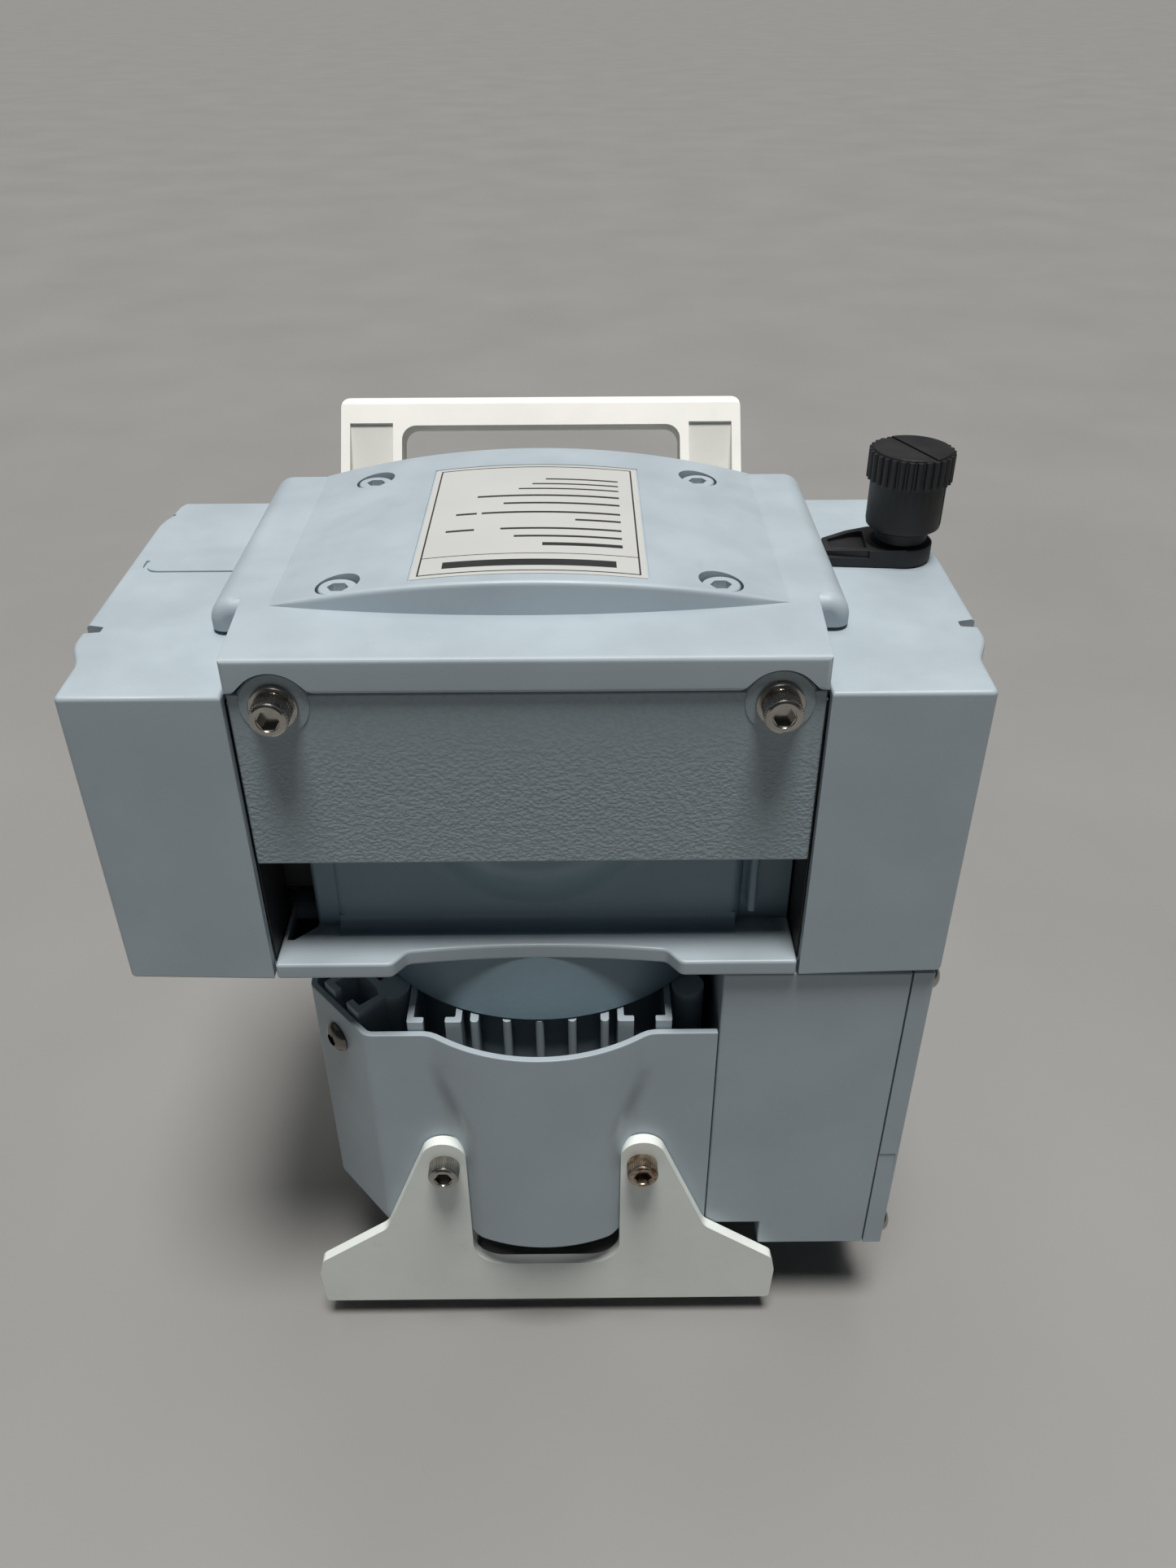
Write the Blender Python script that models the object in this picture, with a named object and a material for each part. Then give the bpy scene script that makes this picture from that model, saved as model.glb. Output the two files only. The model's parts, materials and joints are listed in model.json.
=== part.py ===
"""A two-head diaphragm vacuum pump that stands upright on its motor end.

The motor shaft is vertical. Its crank drives two connecting rods, one to each side, and each
rod flexes a diaphragm in a pump head under a side cover. The model is in millimetres, with x to
the right, y backwards from the front faces of the side covers, and z up from the floor. The mesh
builder turns it into metres and moves the origin to the middle of the base.
"""
import math

import bmesh
import bpy
from mathutils import Matrix, Vector

MM = 0.001
GAP = 0.3              # between pieces that touch
ORIGIN_Y = 86.45       # the origin lies this far behind the front faces

# Pump body
WIDTH = 244.8          # over the side covers
DEPTH = 130.0          # of the side covers
COVER_INNER_X = 76.3   # where a side cover meets the middle
COVER_BOTTOM = 165.0
COVER_TOP = 260.0
COVER_WALL = 3.0
AXIS_Y = 66.0          # the motor shaft's axis
HEAD_Z = 212.0         # height of the pump heads' axis
PUMP_BOTTOM = 36.0

# Top cover
LID_TOP = 270.0
LID_HALF = 86.5
APRON_HALF = (75.6, 77.9)      # at its front, and at the top of its rear
APRON_DEPTH = 33.0
LID_REAR = 127.6
DOME_HALF = 69.0
DOME_RISE = 9.0
LABEL_SIZE = (62.4, 80.9)
LABEL_FRONT_Y = 30.5
LID_SCREW_AT = (51.0, (35.0, 112.0))

# Panel and its screws
PANEL_HALF = 75.4
PANEL_BOTTOM = 206.2
PANEL_Y = 1.5
PANEL_THICK = 3.0
PANEL_SCREW = (63.6, 256.6)
BOSS_R = 9.4
ARCH_R = 9.8

# Drive housing
BLOCK_HALF = 61.0
BLOCK_FRONT = 17.0
BLOCK_REAR = 113.0
SHELF_HALF = 75.6
SHELF_RECESS = (38.5, 5.4, 2.5)   # half width, depth at its ends, and how much deeper its middle is
SHELF_TOP = 170.5
FLANGE_R = 61.0
FLANGE_NECK_R = 58.0
FLANGE_BOTTOM = 142.3
REAR_PLATE_Y = 128.5

# Crank and rods
CRANK_THROW = 2.5
PIN_R = 6.0
SHAFT_R = 7.5
ROD_PLATE_X = 60.9
LEFT_ROD_Z = 202.4
RIGHT_ROD_Z = 213.0
ROD_THICK = 9.8

# Pump heads
HEAD_SIZE = 81.0
DIAPHRAGM_X = 61.3
DIAPHRAGM_THICK = 3.0
PLATE_X = (64.6, 80.0)
HEAD_COVER_X = (80.3, 103.0)
CHAMBER_R = 33.0
CHAMBER_END = 74.0
VALVE_R = 8.0
INLET_VALVE = (84.0, 222.0)
OUTLET_VALVE = (48.0, 202.0)
DUCT_X = 92.0

# Motor
CORE_R = 52.0
BORE_R = 47.0
FIN_REACH = 61.0
MOTOR_BOTTOM = 62.0
MOTOR_TOP = 142.0
SLOT_X = 32.3
SLOT_GAP = 6.6
RAIL = 8.4
FINS_AT = (-20, -10, 0, 10, 20)
FIN = 2.6
SHEET = 2.2
SHEET_FRONT = 2.5
SHEET_Z = (49.0, 139.0)
SHEET_LEFT = -74.0
SHEET_CHAMFER = (53.5, 25.5)
BULGE_R = 57.0
BULGE_FRONT = -8.6
BULGE_HALF = 33.0
SHEET_LEDGE = 100.0

# Terminal box
BOX_X = (55.0, 111.0)
BOX_Y = (2.6, 129.0)
BOX_Z = (46.5, 163.0)
BOX_STEP_X = 74.0
BOX_BOTTOM = 35.0
LID_X = 117.5
LID_SCREW_Z = (42.0, 158.0)
LID_SCREW_Y = 7.4
SOCKET_AT = (84.0, 130.0)
SWITCH_AT = (84.0, 92.0)

# Stand
PLATE = 3.7
PRONG_INNER_X = 25.3
STAND_BOTTOM = 9.5
STAND_SCREW_Z = 84.0
FOOT_AT = (60.0, 16.0)
FOOT_R = 9.5

# Handle, in a plane that leans backwards
HANDLE_HALF = 70.6
HANDLE_LEG = 21.5
HANDLE_LEAN = math.radians(36)
HANDLE_TOP = (173.08, 282.9)
HANDLE_BAR = (12.2, 11.57)
HANDLE_EDGE = 1.6
HANDLE_RIM = 3.2
HANDLE_PAD_REAR = 133.5
HANDLE_SCREW = (60.2, 185.0)

# Gas ballast valve
KNOB_AT = (110.0, 82.3)
KNOB_R = 12.4
KNOB_CAP = 9.2
KNOB_BOTTOM = 270.2
VALVE_BASE_R = 9.4
KNOB_TOP = 293.8


# Building blocks

def clear_scene():
    for item in list(bpy.data.objects):
        bpy.data.objects.remove(item)


def material(name, colour, roughness, metallic=0.0):
    made = bpy.data.materials.get(name)
    if made:
        return made
    made = bpy.data.materials.new(name)
    made.use_nodes = True
    shader = made.node_tree.nodes["Principled BSDF"]
    shader.inputs["Base Color"].default_value = (*colour, 1.0)
    shader.inputs["Roughness"].default_value = roughness
    shader.inputs["Metallic"].default_value = metallic
    made.diffuse_color = (*colour, 1.0)
    return made


def solid(name, bm, finish=None):
    """Make an object of a mesh in millimetres."""
    bmesh.ops.recalc_face_normals(bm, faces=bm.faces)
    to_metres = Matrix.Scale(MM, 4) @ Matrix.Translation((0, -ORIGIN_Y, 0))
    bmesh.ops.transform(bm, verts=bm.verts, matrix=to_metres)
    mesh = bpy.data.meshes.new(name)
    bm.to_mesh(mesh)
    bm.free()
    made = bpy.data.objects.new(name, mesh)
    bpy.context.collection.objects.link(made)
    if finish:
        mesh.materials.append(finish)
    return made


def across(axis, a, b, h):
    """A point at height h along an axis, and at (a, b) in the plane across it."""
    return {"X": (h, a, b), "Y": (a, h, b), "Z": (a, b, h)}[axis]


def prism(outline, low, high, axis="Z"):
    """A closed outline, extruded along an axis."""
    bm = bmesh.new()
    rings = [[bm.verts.new(across(axis, a, b, h)) for a, b in outline] for h in (low, high)]
    count = len(outline)
    for ring in rings:
        bm.faces.new(ring)
    for i in range(count):
        j = (i + 1) % count
        bm.faces.new((rings[0][i], rings[0][j], rings[1][j], rings[1][i]))
    return bm


def box(x, y, z):
    return prism([(x[0], y[0]), (x[1], y[0]), (x[1], y[1]), (x[0], y[1])], z[0], z[1])


def arc(centre, radius, start, end, steps):
    """Points on an arc, with its angles in degrees."""
    turns = [math.radians(start + (end - start) * i / steps) for i in range(steps + 1)]
    return [(centre[0] + radius * math.cos(t), centre[1] + radius * math.sin(t)) for t in turns]


def rod(centre, radius, low, high, axis="Z", steps=24):
    return prism(arc(centre, radius, 0, 360 * (steps - 1) / steps, steps - 1), low, high, axis)


def turned(profile, centre, axis="Z", steps=24, ring=False):
    """A solid of revolution. The profile lists radius and height. A ring has a hole along its axis."""
    bm = bmesh.new()
    loops = []
    for radius, height in profile:
        if radius == 0:
            loops.append([bm.verts.new(across(axis, *centre, height))])
        else:
            circle = arc(centre, radius, 0, 360 * (steps - 1) / steps, steps - 1)
            loops.append([bm.verts.new(across(axis, a, b, height)) for a, b in circle])
    pairs = list(zip(loops, loops[1:]))
    if ring:
        pairs.append((loops[-1], loops[0]))
    for lower, upper in pairs:
        for i in range(steps):
            j = (i + 1) % steps
            corners = [ring[k % len(ring)] for ring, k in ((lower, i), (lower, j), (upper, j), (upper, i))]
            bm.faces.new(list(dict.fromkeys(corners)))
    return bm


def merged(meshes):
    """Several meshes in one, for a cutter with separate bodies."""
    whole = bmesh.new()
    for bm in meshes:
        bmesh.ops.recalc_face_normals(bm, faces=bm.faces)
        part = bpy.data.meshes.new("part")
        bm.to_mesh(part)
        bm.free()
        whole.from_mesh(part)
        bpy.data.meshes.remove(part)
    return whole


def apply_modifiers(body):
    depsgraph = bpy.context.evaluated_depsgraph_get()
    fresh = bpy.data.meshes.new_from_object(body.evaluated_get(depsgraph))
    old = body.data
    body.modifiers.clear()
    body.data = fresh
    bpy.data.meshes.remove(old)
    fresh.name = body.name


def combine(body, meshes, operation):
    for bm in meshes:
        tool = solid("tool", bm)
        modifier = body.modifiers.new("combine", "BOOLEAN")
        modifier.object = tool
        modifier.operation = operation
        modifier.solver = "EXACT"
        apply_modifiers(body)
        bpy.data.objects.remove(tool)
    return body


def cut(body, *meshes):
    return combine(body, meshes, "DIFFERENCE")


def add(body, *meshes):
    return combine(body, meshes, "UNION")


def join_flat_faces(body):
    bm = bmesh.new()
    bm.from_mesh(body.data)
    bmesh.ops.dissolve_limit(bm, angle_limit=math.radians(0.05), verts=bm.verts, edges=bm.edges)
    bm.to_mesh(body.data)
    bm.free()


def smooth(body, degrees=35):
    join_flat_faces(body)
    body.data.shade_smooth()
    body.data.set_sharp_from_angle(angle=math.radians(degrees))
    return body


def pivot_at(body, x, y, z):
    """Put the object's origin on its joint's axis."""
    place = Vector((x, y - ORIGIN_Y, z)) * MM
    body.data.transform(Matrix.Translation(-place))
    body.location = place
    return body


def flipped(outline):
    return [(-a, b) for a, b in reversed(outline)]


def paint():
    return material("pale_blue_grey_paint", (0.50, 0.56, 0.60), 0.45)


def dark_paint():
    return material("dark_blue_grey_paint", (0.16, 0.21, 0.25), 0.5)


def aluminium():
    return material("cast_aluminium", (0.55, 0.57, 0.58), 0.45, 0.9)


def steel():
    return material("stainless_steel", (0.62, 0.60, 0.56), 0.3, 1.0)


def black():
    return material("black_plastic", (0.02, 0.02, 0.022), 0.45)


def rubber():
    return material("black_rubber", (0.03, 0.03, 0.03), 0.8)


def ptfe():
    return material("white_ptfe", (0.85, 0.85, 0.82), 0.4)


# Screws

def hexagon(radius):
    return arc((0, 0), radius, 0, 300, 5)


def aimed(body, at, direction):
    """Turn a screw that was built along z at the axis (0, 0), and move it to its place."""
    turn = Vector(direction).to_track_quat("Z", "Y").to_matrix().to_4x4()
    centre = Vector((0, ORIGIN_Y, 0)) * MM
    place = Vector((at[0], at[1] - ORIGIN_Y, at[2])) * MM
    body.data.transform(Matrix.Translation(place) @ turn @ Matrix.Translation(centre))
    return smooth(body)


def cap_screw(name, at, direction, head, shank, washer=None, finish=None):
    """A socket head screw. It sits at `at` and its head points along `direction`."""
    head_r, head_h = head
    shank_r, shank_l = shank
    chamfer = 0.08 * head_r
    under = washer[1] if washer else 0.0
    top = under + head_h
    profile = [(0, -shank_l), (shank_r, -shank_l), (shank_r, 0)]
    if washer:
        profile += [(washer[0], 0), (washer[0], under)]
    profile += [(head_r, under), (head_r, top - chamfer), (head_r - chamfer, top), (0, top)]
    body = solid(name, turned(profile, (0, 0), steps=12), finish or steel())
    cut(body, prism(hexagon(0.58 * head_r), under + 0.45 * head_h, top + 1))
    return aimed(body, at, direction)


def button_screw(name, at, direction, radius, height, shank):
    dome = [(radius * math.cos(t), height * math.sin(t)) for t in (0.4, 1.0)]
    profile = [(0, -shank[1]), (shank[0], -shank[1]), (shank[0], 0), (radius, 0), (radius, 0.35 * height)]
    profile += dome + [(0, height)]
    body = solid(name, turned(profile, (0, 0), steps=12), steel())
    cut(body, prism(hexagon(0.42 * radius), 0.35 * height, height + 1))
    return aimed(body, at, direction)


# Covers

def side_outline():
    """Plan of the right cover. It swells behind its front edge and has a groove in its side."""
    outer = WIDTH / 2
    front = outer - 4.4
    swell = []
    for i in range(1, 6):
        t = i / 5
        swell.append((front + 0.2 + 4.2 * t * t * (3 - 2 * t), 15.5 + 15.5 * t))
    groove = [(outer, 35.6), (outer - 3.0, 36.4), (outer - 3.0, 40.4), (outer, 40.4)]
    rear = [(outer, 110.5), (outer - 2.4, 118.6), (outer - 3.4, 118.6), (outer - 3.4, 120.2)]
    corner = [(outer - 2.4, 120.2), (outer - 3.4, 127.4), (outer - 5.0, DEPTH), (COVER_INNER_X, DEPTH)]
    return [(COVER_INNER_X, 0), (front, 0), (front + 0.2, 15.5)] + swell + groove + rear + corner


def side_cavity():
    outer = WIDTH / 2 - 5.5
    rear = DEPTH - COVER_WALL
    return [(COVER_INNER_X - 5, COVER_WALL), (outer - 2.4, COVER_WALL), (outer - 2.0, 17), (outer, 32),
            (outer, 109), (outer - 3.4, 117), (outer - 3.4, rear), (COVER_INNER_X - 5, rear)]


def side_cover(side):
    name = "side_cover_right" if side > 0 else "side_cover_left"
    mirrored = side_outline() if side > 0 else flipped(side_outline())
    hollow = side_cavity() if side > 0 else flipped(side_cavity())
    body = solid(name, prism(mirrored, COVER_BOTTOM, COVER_TOP), paint())
    cut(body, prism(hollow, COVER_BOTTOM + COVER_WALL, COVER_TOP - COVER_WALL))
    port_z = OUTLET_VALVE[1] if side > 0 else INLET_VALVE[1]
    cut(body, rod((side * DUCT_X, port_z), 6.6, DEPTH - 6, DEPTH + 2, "Y", 20))
    if side > 0:
        cut(body, rod(KNOB_AT, 5.2, COVER_TOP - 6, COVER_TOP + 2, steps=16))
    else:
        cut(body, blank_groove())
    return smooth(body)


def blank_groove():
    """A shallow groove that marks the unused valve place on the left cover."""
    half_width, depth, radius = 0.55, 0.7, 5.0
    line_y = 74.8
    corner = (-112.5, line_y + radius)
    outer = arc(corner, radius + half_width, 270, 180, 5)
    inner = arc(corner, radius - half_width, 180, 270, 5)
    left = corner[0] - radius
    end = [(left - half_width, 86.0), (left + half_width, 86.0)]
    near = -LID_HALF
    outline = [(near, line_y - half_width)] + outer + end + inner + [(near, line_y + half_width)]
    return prism(outline, COVER_TOP - depth, COVER_TOP + 2)


def dome_height(x):
    """Height of the arched top over the flat lid at x."""
    radius = (DOME_HALF ** 2 + DOME_RISE ** 2) / (2 * DOME_RISE)
    return math.sqrt(max(radius ** 2 - x ** 2, 0)) - (radius - DOME_RISE)


def dome():
    """The arched platform, with a front that bulges forward."""
    bm = bmesh.new()
    sections = []
    steps = 24
    for i in range(steps + 1):
        x = DOME_HALF * (2 * i / steps - 1)
        front = 24.0 + 6.5 * (x / DOME_HALF) ** 2
        top = LID_TOP + max(dome_height(x), 0.02)
        low = LID_TOP - 2
        leaning = front + 0.12 * (top - LID_TOP)
        ring = [(front, low), (front, LID_TOP), (leaning, top), (LID_REAR, top), (LID_REAR, low)]
        sections.append([bm.verts.new((x, y, z)) for y, z in ring])
    for a, b in zip(sections, sections[1:]):
        for k in range(len(a)):
            m = (k + 1) % len(a)
            bm.faces.new((a[k], a[m], b[m], b[k]))
    bm.faces.new(sections[0])
    bm.faces.new(sections[-1])
    return bm


def lid_section():
    """Front view of the lid behind the apron, with rounded shoulders."""
    radius = 6.5
    right = arc((LID_HALF - radius, LID_TOP - radius), radius, 0, 90, 5)
    return [(LID_HALF, COVER_TOP + GAP)] + right + flipped(right) + [(-LID_HALF, COVER_TOP + GAP)]


def lid_screw_places():
    x, rows = LID_SCREW_AT
    return [(side * x, y) for y in rows for side in (-1, 1)]


def apron():
    """The top of the lid's front, which widens backwards over the side covers."""
    front, rear = APRON_HALF
    low = COVER_TOP + GAP
    return prism([(-front, 0), (front, 0), (rear, APRON_DEPTH + 4), (-rear, APRON_DEPTH + 4)], low, LID_TOP)


def top_cover():
    low = COVER_TOP + GAP
    body = solid("top_cover", prism(lid_section(), APRON_DEPTH, LID_REAR, "Y"), paint())
    add(body, apron(), dome())
    ceiling = LID_TOP - 4
    cut(body, box((-LID_HALF + 3.5, LID_HALF - 3.5), (APRON_DEPTH + 3, LID_REAR - 3), (low - 2, ceiling)))
    inner = APRON_HALF[0] - 3.5
    cut(body, box((-inner, inner), (3.5, APRON_DEPTH + 5), (low - 2, ceiling)))
    for place in lid_screw_places():
        add(body, rod(place, 7.5, low + 1.5, ceiling + 1, steps=12))
    for place in lid_screw_places():
        cut(body, rod(place, 3.3, low - 3, ceiling + 2, steps=12))
        cut(body, rod(place, 6.0, ceiling + GAP, LID_TOP + 12, steps=20))
    for side in (-1, 1):
        cut(body, rod((side * PANEL_SCREW[0], PANEL_SCREW[1]), ARCH_R, -2, 6.5, "Y", 32))
    half_x, half_y = LABEL_SIZE[0] / 2 + 0.5, LABEL_FRONT_Y - 0.5 + LABEL_SIZE[1] + 1
    cut(body, box((-half_x, half_x), (LABEL_FRONT_Y - 0.5, half_y), (label_floor(), LID_TOP + 15)))
    return smooth(body, 40)


def label_floor():
    return LID_TOP + dome_height(LABEL_SIZE[0] / 2) - 0.3


def label_plate():
    low = label_floor() + GAP
    rear = LABEL_FRONT_Y + LABEL_SIZE[1]
    half = LABEL_SIZE[0] / 2
    return solid("label_plate", box((-half, half), (LABEL_FRONT_Y, rear), (low, low + 0.6)),
                 material("silver_label", (0.6, 0.61, 0.6), 0.4, 0.3))


def top_cover_screws():
    seat = LID_TOP - 4 + 2 * GAP
    names = ("front_left", "front_right", "rear_left", "rear_right")
    for name, (x, y) in zip(names, lid_screw_places()):
        at = (x, y, seat)
        cap_screw("top_cover_screw_" + name, at, (0, 0, 1), (4.9, 5.6), (2.9, 18.0), finish=paint())


def panel_outline():
    """Front view of the panel. Its top edge rises round each screw."""
    x, z = PANEL_SCREW
    top = COVER_TOP - GAP
    lean = math.degrees(math.asin((top - z) / BOSS_R))
    right = arc((x, z), BOSS_R, lean, 180 - lean, 16)
    return [(-PANEL_HALF, PANEL_BOTTOM), (PANEL_HALF, PANEL_BOTTOM), (PANEL_HALF, top)] + right + \
        flipped(right) + [(-PANEL_HALF, top)]


def front_panel():
    body = solid("front_panel", prism(panel_outline(), PANEL_Y, PANEL_Y + PANEL_THICK, "Y"), paint())
    for side in (-1, 1):
        cut(body, rod((side * PANEL_SCREW[0], PANEL_SCREW[1]), 3.3, 0, 6, "Y", 20))
    return smooth(body)


def panel_screws():
    for side, name in ((-1, "left"), (1, "right")):
        at = (side * PANEL_SCREW[0], PANEL_Y - GAP, PANEL_SCREW[1])
        cap_screw("panel_screw_" + name, at, (0, -1, 0), (5.0, 5.8), (2.9, 16.5), (6.2, 1.9))


# Drive housing

def shelf_outline():
    """Plan of the shelf under the pump block, with a recess in the middle of its front."""
    half, depth, sag = SHELF_RECESS
    steps = 6
    middle = []
    for i in range(steps + 1):
        share = 1 - 2 * i / steps
        middle.append((half * share, depth + sag * (1 - share ** 2)))
    corner = half + 2.5
    return [(SHELF_HALF, REAR_PLATE_Y), (SHELF_HALF, 0), (corner, 0)] + middle + \
        [(-corner, 0), (-SHELF_HALF, 0), (-SHELF_HALF, REAR_PLATE_Y)]


def front_wall():
    """Wings of the block's front wall: the left one ends at a gap, the right one at the side cover."""
    low, high = SHELF_TOP - 1, 248
    left = box((-66, -BLOCK_HALF + 2), (BLOCK_FRONT + 0.6, BLOCK_FRONT + 7), (low, high))
    right = box((BLOCK_HALF - 2, SHELF_HALF - 0.5), (BLOCK_FRONT + 2.5, BLOCK_FRONT + 6), (low, high))
    rib = box((62, 64.4), (BLOCK_FRONT - 4, BLOCK_FRONT + 4), (low + 9, high - 0.5))
    return left, right, rib


def bearing_boss():
    """A soft round swelling on the block's front."""
    profile = [(0, 9), (20, 9), (26, 10.3), (32, 13.5), (37, 16), (40, 17.2), (40, 20), (0, 20)]
    return turned(profile, (0, HEAD_Z), "Y", 36)


def flange():
    """The round flange that joins the housing to the motor, with a slightly smaller neck."""
    top = COVER_BOTTOM + 2
    profile = [(0, FLANGE_BOTTOM), (FLANGE_R, FLANGE_BOTTOM), (FLANGE_R, 156), (FLANGE_NECK_R, COVER_BOTTOM),
               (FLANGE_NECK_R, top), (0, top)]
    return turned(profile, (0, AXIS_Y), steps=48)


def drive_housing():
    block = box((-BLOCK_HALF, BLOCK_HALF), (BLOCK_FRONT, BLOCK_REAR), (SHELF_TOP - 2, 247))
    body = solid("drive_housing", block, dark_paint())
    add(body, prism(shelf_outline(), COVER_BOTTOM, SHELF_TOP))
    add(body, flange(), bearing_boss())
    for wing in front_wall():
        add(body, wing)
    add(body, box((-BLOCK_HALF, BLOCK_HALF), (5, 125), (246, COVER_TOP - GAP)))
    add(body, box((-73, 73), (5, 20.5), (246, COVER_TOP - GAP)))
    for side in (-1, 1):
        add(body, rod((side * PANEL_SCREW[0], PANEL_SCREW[1]), 8.6, 4.8, 20, "Y", 16))
    add(body, box((-PANEL_HALF, PANEL_HALF), (123, REAR_PLATE_Y), (COVER_BOTTOM + 2, COVER_TOP - GAP)))
    for side in (-1, 1):
        near, far = sorted((side * 50.0, side * 70.0))
        add(body, box((near, far), (108, 125), (SHELF_TOP - 2, 194)))
    hole = [(-SHELF_HALF + 1.5, 11), (-72, 11), (-BLOCK_HALF - 5, BLOCK_FRONT), (-BLOCK_HALF - 5, 25),
            (-SHELF_HALF + 1.5, 25)]
    cut(body, prism(hole, COVER_BOTTOM - 2, SHELF_TOP + 2))
    cut(body, rod((0, AXIS_Y), 36, 176, 243, steps=24))
    cut(body, rod((AXIS_Y, HEAD_Z), 30, -BLOCK_HALF - 2, BLOCK_HALF + 2, "X", 24))
    bore = [(0, FLANGE_BOTTOM - 2), (16.3, FLANGE_BOTTOM - 2), (16.3, 153), (9, 153), (9, 180), (0, 180)]
    cut(body, turned(bore, (0, AXIS_Y)))
    cut(body, box((BOX_X[0] - 0.5, 70), (0, 132), (FLANGE_BOTTOM - 2, COVER_BOTTOM)))
    for side in (-1, 1):
        cut(body, rod((side * PANEL_SCREW[0], PANEL_SCREW[1]), 3.2, 3, 19, "Y", 12))
        cut(body, rod((side * HANDLE_SCREW[0], HANDLE_SCREW[1]), 2.8, 112, 130, "Y", 12))
    for place in lid_screw_places():
        cut(body, rod(place, 3.3, 247.5, 262, steps=12))
    return smooth(body, 40)


# Motor

def slot_blocks(direction):
    """Fins and the two slotted rails on one side of the motor housing, pointing along y."""
    meshes = []
    front = AXIS_Y - direction * FIN_REACH
    root = AXIS_Y - direction * 30
    low, high = sorted((front, root))
    height = (MOTOR_BOTTOM, MOTOR_TOP)
    for x in FINS_AT:
        meshes.append(box((x - FIN / 2, x + FIN / 2), (low, high), height))
    lip = sorted((front, front + direction * 2.4))
    for side in (-1, 1):
        centre = side * SLOT_X
        for wing in (-1, 1):
            wall = sorted((centre + wing * (RAIL - 2.0), centre + wing * RAIL))
            ledge = sorted((centre + wing * SLOT_GAP / 2, centre + wing * RAIL))
            meshes.append(box(wall, (low, high), height))
            meshes.append(box(ledge, lip, height))
    return meshes


def corner_direction():
    """Unit vector from the motor's axis, square to the sheet cover's chamfer."""
    across_x = -SHEET_LEFT - SHEET_CHAMFER[0]
    across_y = SHEET_CHAMFER[1] - SHEET_FRONT
    length = math.hypot(across_x, across_y)
    return Vector((-across_y / length, -across_x / length))


def corner_block(rear):
    """A web from the core to the chamfered corner, for the cover's screw."""
    outward = corner_direction()
    along = Vector((outward.y, -outward.x))
    flip = -1 if rear else 1
    reach = 79.6
    points = []
    for tangent, radial in ((-4, 45), (12, 45), (12, reach), (-4, reach)):
        spot = outward * radial + along * tangent
        points.append((spot.x, AXIS_Y + flip * spot.y))
    return prism(points, MOTOR_BOTTOM + 6, MOTOR_TOP - GAP)


def motor_housing():
    core = rod((0, AXIS_Y), CORE_R, MOTOR_BOTTOM, MOTOR_TOP, steps=32)
    body = solid("motor_housing", core, dark_paint())
    for mesh in slot_blocks(1) + slot_blocks(-1):
        add(body, mesh)
    for y in FINS_AT:
        low = AXIS_Y + y - FIN / 2
        add(body, box((-66, -30), (low, low + FIN), (MOTOR_BOTTOM, MOTOR_TOP)))
    add(body, corner_block(False), corner_block(True))
    cut(body, rod((0, AXIS_Y), BORE_R, MOTOR_BOTTOM - 2, MOTOR_TOP + 2, steps=32))
    for rear in (False, True):
        at, outward = sheet_screw_place(rear)
        cut(body, angled_hole(at, outward, 2.7, -13, 2))
    return smooth(body, 40)


def angled_hole(at, outward, radius, low, high):
    bm = rod((0, 0), radius, low, high, steps=12)
    turn = outward.to_track_quat("Z", "Y").to_matrix().to_4x4()
    bmesh.ops.transform(bm, verts=bm.verts, matrix=Matrix.Translation(at) @ turn)
    return bm


def sheet_screw_place(rear):
    """Where a screw holds the motor's sheet cover on its chamfer."""
    share = 0.54
    x = -SHEET_CHAMFER[0] + share * (SHEET_LEFT + SHEET_CHAMFER[0])
    y = SHEET_FRONT + share * (SHEET_CHAMFER[1] - SHEET_FRONT)
    outward = corner_direction()
    normal = Vector((outward.x, outward.y, 0))
    if rear:
        y = 2 * AXIS_Y - y
        normal.y = -normal.y
    return Vector((x, y, 126.6)), normal


def sheet_path(bulge_half):
    """Plan of the motor's sheet cover, from its right front edge round to its right rear edge."""
    centre = (0, BULGE_FRONT + BULGE_R)
    half = math.degrees(math.asin(bulge_half / BULGE_R))
    bulge = arc(centre, BULGE_R, 270 + half, 270 - half, 10)
    corner = [(-SHEET_CHAMFER[0], SHEET_FRONT), (SHEET_LEFT, SHEET_CHAMFER[1])]
    mirrored = [(x, 2 * AXIS_Y - y) for x, y in reversed(corner)]
    right = BOX_X[0] - GAP
    foot = bulge_half + 1.5
    front = [(right, SHEET_FRONT), (foot, SHEET_FRONT)] + bulge + [(-foot, SHEET_FRONT)]
    return front + corner + mirrored + [(right, 2 * AXIS_Y - SHEET_FRONT)]


def beside(path, distance):
    """An open path moved to its right-hand side, with mitred corners."""
    points = [Vector(point) for point in path]
    steps = [(b - a).normalized() for a, b in zip(points, points[1:])]
    moved = []
    for point, before, after in zip(points, steps[:1] + steps, steps + steps[-1:]):
        along = (before + after).normalized()
        moved.append(tuple(point + Vector((along.y, -along.x)) * distance / along.dot(before)))
    return moved


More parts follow.
